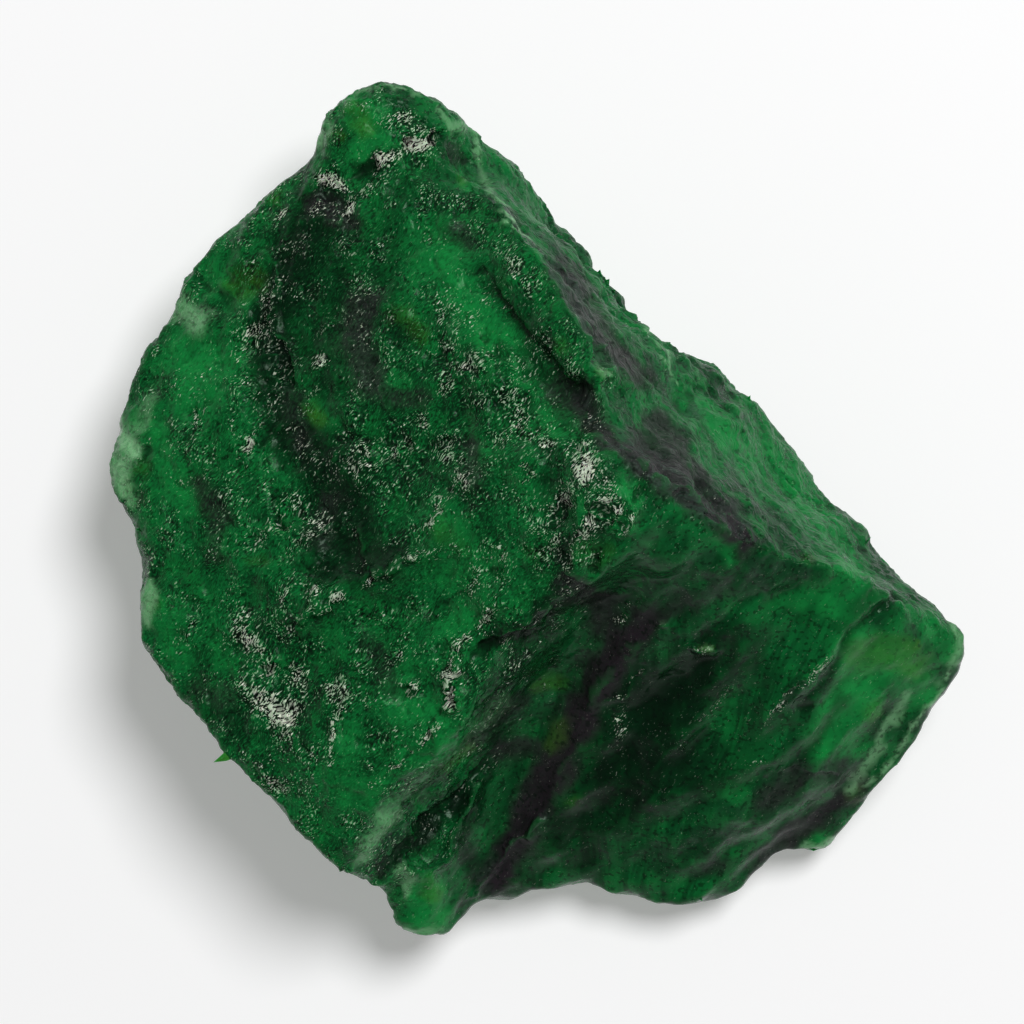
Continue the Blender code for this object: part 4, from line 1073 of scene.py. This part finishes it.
# %% Where they stand: title, root in millimetres, direction in degrees, length, width, how yellow
SPLINTERS = [
    ("light one at the lower left", (-17.2, -13.5), 195, 1.10, 0.50, 0.8),
    ("long edge, upper", (3.5, 13.5), 62, 0.50, 0.46, 0.0),
    ("long edge, middle", (3.9, 13.0), 38, 0.55, 0.56, 0.0),
    ("long edge, lower", (4.2, 12.5), 20, 0.48, 0.42, 0.0),
    ("bend of the long edge", (12.0, 6.4), 50, 0.50, 0.36, 0.1),
    ("thin one by the right tip", (18.6, -1.8), 43, 0.80, 0.16, 0.0),
    ("right tip of the lobe", (16.0, -19.4), 345, 0.50, 0.34, 0.3),
    ("under the lower edge", (9.3, -22.1), 290, 0.45, 0.34, 0.0),
    ("left of the lower edge", (1.1, -21.1), 300, 0.42, 0.32, 0.0),
    ("left edge", (-22.3, -0.9), 170, 0.42, 0.34, 0.2),
    ("top", (-8.6, 23.6), 125, 0.55, 0.36, 0.2),
]
SPLINTER_SIDES = 5


def spindle(root, degrees, length, width):
    """Points and faces of one splinter, in millimetres."""
    along = Vector((math.cos(math.radians(degrees)), math.sin(math.radians(degrees)), 0.12))
    across = Vector((-along.y, along.x, 0))
    corners = [root - along * length * 0.45]
    for share, radius in ((-0.2, 0.42), (0.35, 0.5)):
        for index in range(SPLINTER_SIDES):
            angle = math.tau * index / SPLINTER_SIDES + share
            side = across * math.cos(angle) + Vector((0, 0, 0.6)) * math.sin(angle)
            corners.append(root + along * length * share + side * width * radius)
    corners.append(root + along * length + across * width * 0.25)
    faces = []
    for index in range(SPLINTER_SIDES):
        after = (index + 1) % SPLINTER_SIDES
        first, second = 1 + index, 1 + after
        faces.append((0, second, first))
        faces.append((first, second, second + SPLINTER_SIDES, first + SPLINTER_SIDES))
        faces.append((first + SPLINTER_SIDES, second + SPLINTER_SIDES, len(corners) - 1))
    return corners, faces


def find_root(x, y, degrees):
    """Walks back from a place beside the stone until there is stone under it."""
    back = Vector((math.cos(math.radians(degrees)), math.sin(math.radians(degrees)), 0)) * -0.1
    above = Vector((x, y, 40))
    for _ in range(20):
        hit, where, _, _ = stone.ray_cast(above * MM, Vector((0, 0, -1)))
        if hit:
            return where / MM + back * 2 - Vector((0, 0, 0.15))
        above += back
    return None


# %% Build them as one mesh
bpy.context.view_layer.update()
corners, faces, yellow = [], [], []
for title, (x, y), degrees, length, width, yellowness in SPLINTERS:
    root = find_root(x, y, degrees)
    if root is None:
        print("no stone under the splinter:", title)
        continue
    more_corners, more_faces = spindle(root, degrees, length, width)
    faces += [tuple(number + len(corners) for number in face) for face in more_faces]
    corners += more_corners
    yellow += [yellowness] * len(more_corners)
corners = np.clip(np.array([tuple(c) for c in corners]), low, high)
splinter_mesh = bpy.data.meshes.new("splinters")
splinter_mesh.from_pydata((corners * MM).tolist(), [], faces)
yellow = np.array(yellow)
for name, share in (("clouds", 0.2 + yellow), ("mottle", 0.3 + yellow), ("bright", yellow), ("yellow", yellow)):
    put_attribute(splinter_mesh, name, np.clip(share, 0, 1))
layer = splinter_mesh.attributes.new("bent", "FLOAT_VECTOR", "POINT")
layer.data.foreach_set("vector", np.ascontiguousarray(corners, np.float32).ravel())
splinter_mesh.materials.append(emerald)
splinters = bpy.data.objects.new("splinters", splinter_mesh)
bpy.context.scene.collection.objects.link(splinters)
print("splinters:", len(corners) // (2 * SPLINTER_SIDES + 2), "with", len(faces), "faces")

# %% [markdown]
# ### Floor and light
# The stone lies on plain white paper under one large soft light at the upper right, in a room
# that is bright low down and dark above.

# %% Floor
FLOOR_SIZE = 1.2
floor_mesh = bpy.data.meshes.new("floor")
half = FLOOR_SIZE / 2
floor_mesh.from_pydata([(-half, -half, 0), (half, -half, 0), (half, half, 0), (-half, half, 0)], [], [(0, 1, 2, 3)])
floor = bpy.data.objects.new("floor", floor_mesh)
bpy.context.scene.collection.objects.link(floor)
paper = bpy.data.materials.new("white_paper")
paper.use_nodes = True
paper_shader = paper.node_tree.nodes["Principled BSDF"]
paper_shader.inputs["Base Color"].default_value = (0.80, 0.80, 0.81, 1)
paper_shader.inputs["Roughness"].default_value = 0.9
paper_shader.inputs["Specular IOR Level"].default_value = 0.1
paper_shader.inputs["Emission Color"].default_value = (1.0, 1.0, 0.98, 1)
paper_shader.inputs["Emission Strength"].default_value = 0.27
floor_mesh.materials.append(paper)

# %% Light
def soft_light(name, place, size, power, colour=(1, 1, 1)):
    lamp = bpy.data.lights.new(name, "AREA")
    lamp.shape = "DISK"
    lamp.size = size
    lamp.energy = power
    lamp.color = colour
    holder = bpy.data.objects.new(name, lamp)
    holder.location = place
    holder.rotation_euler = (Vector((0, 0, 0.01)) - Vector(place)).to_track_quat("-Z", "Y").to_euler()
    bpy.context.scene.collection.objects.link(holder)


soft_light("key", (0.19, 0.24, 0.60), 0.27, 3.6)
world = bpy.data.worlds.new("room")
bpy.context.scene.world = world
world.use_nodes = True
room = world.node_tree
direction = add(room, "ShaderNodeTexCoord", "direction").outputs["Generated"]
split = add(room, "ShaderNodeSeparateXYZ", "height")
wire(room, direction, split.inputs[0])
low_down = spread(room, split.outputs["Z"], 0.12, 0.55, 0.58, 0.11, "bright low down")
room.nodes["Background"].inputs["Color"].default_value = (1.0, 1.0, 1.0, 1.0)
wire(room, low_down, room.nodes["Background"].inputs["Strength"])
bpy.context.scene.view_settings.view_transform = "Standard"

# %% Hand the stone to the frame
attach(stone, "root")
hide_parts("emerald_crystal")
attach(splinters, "root")
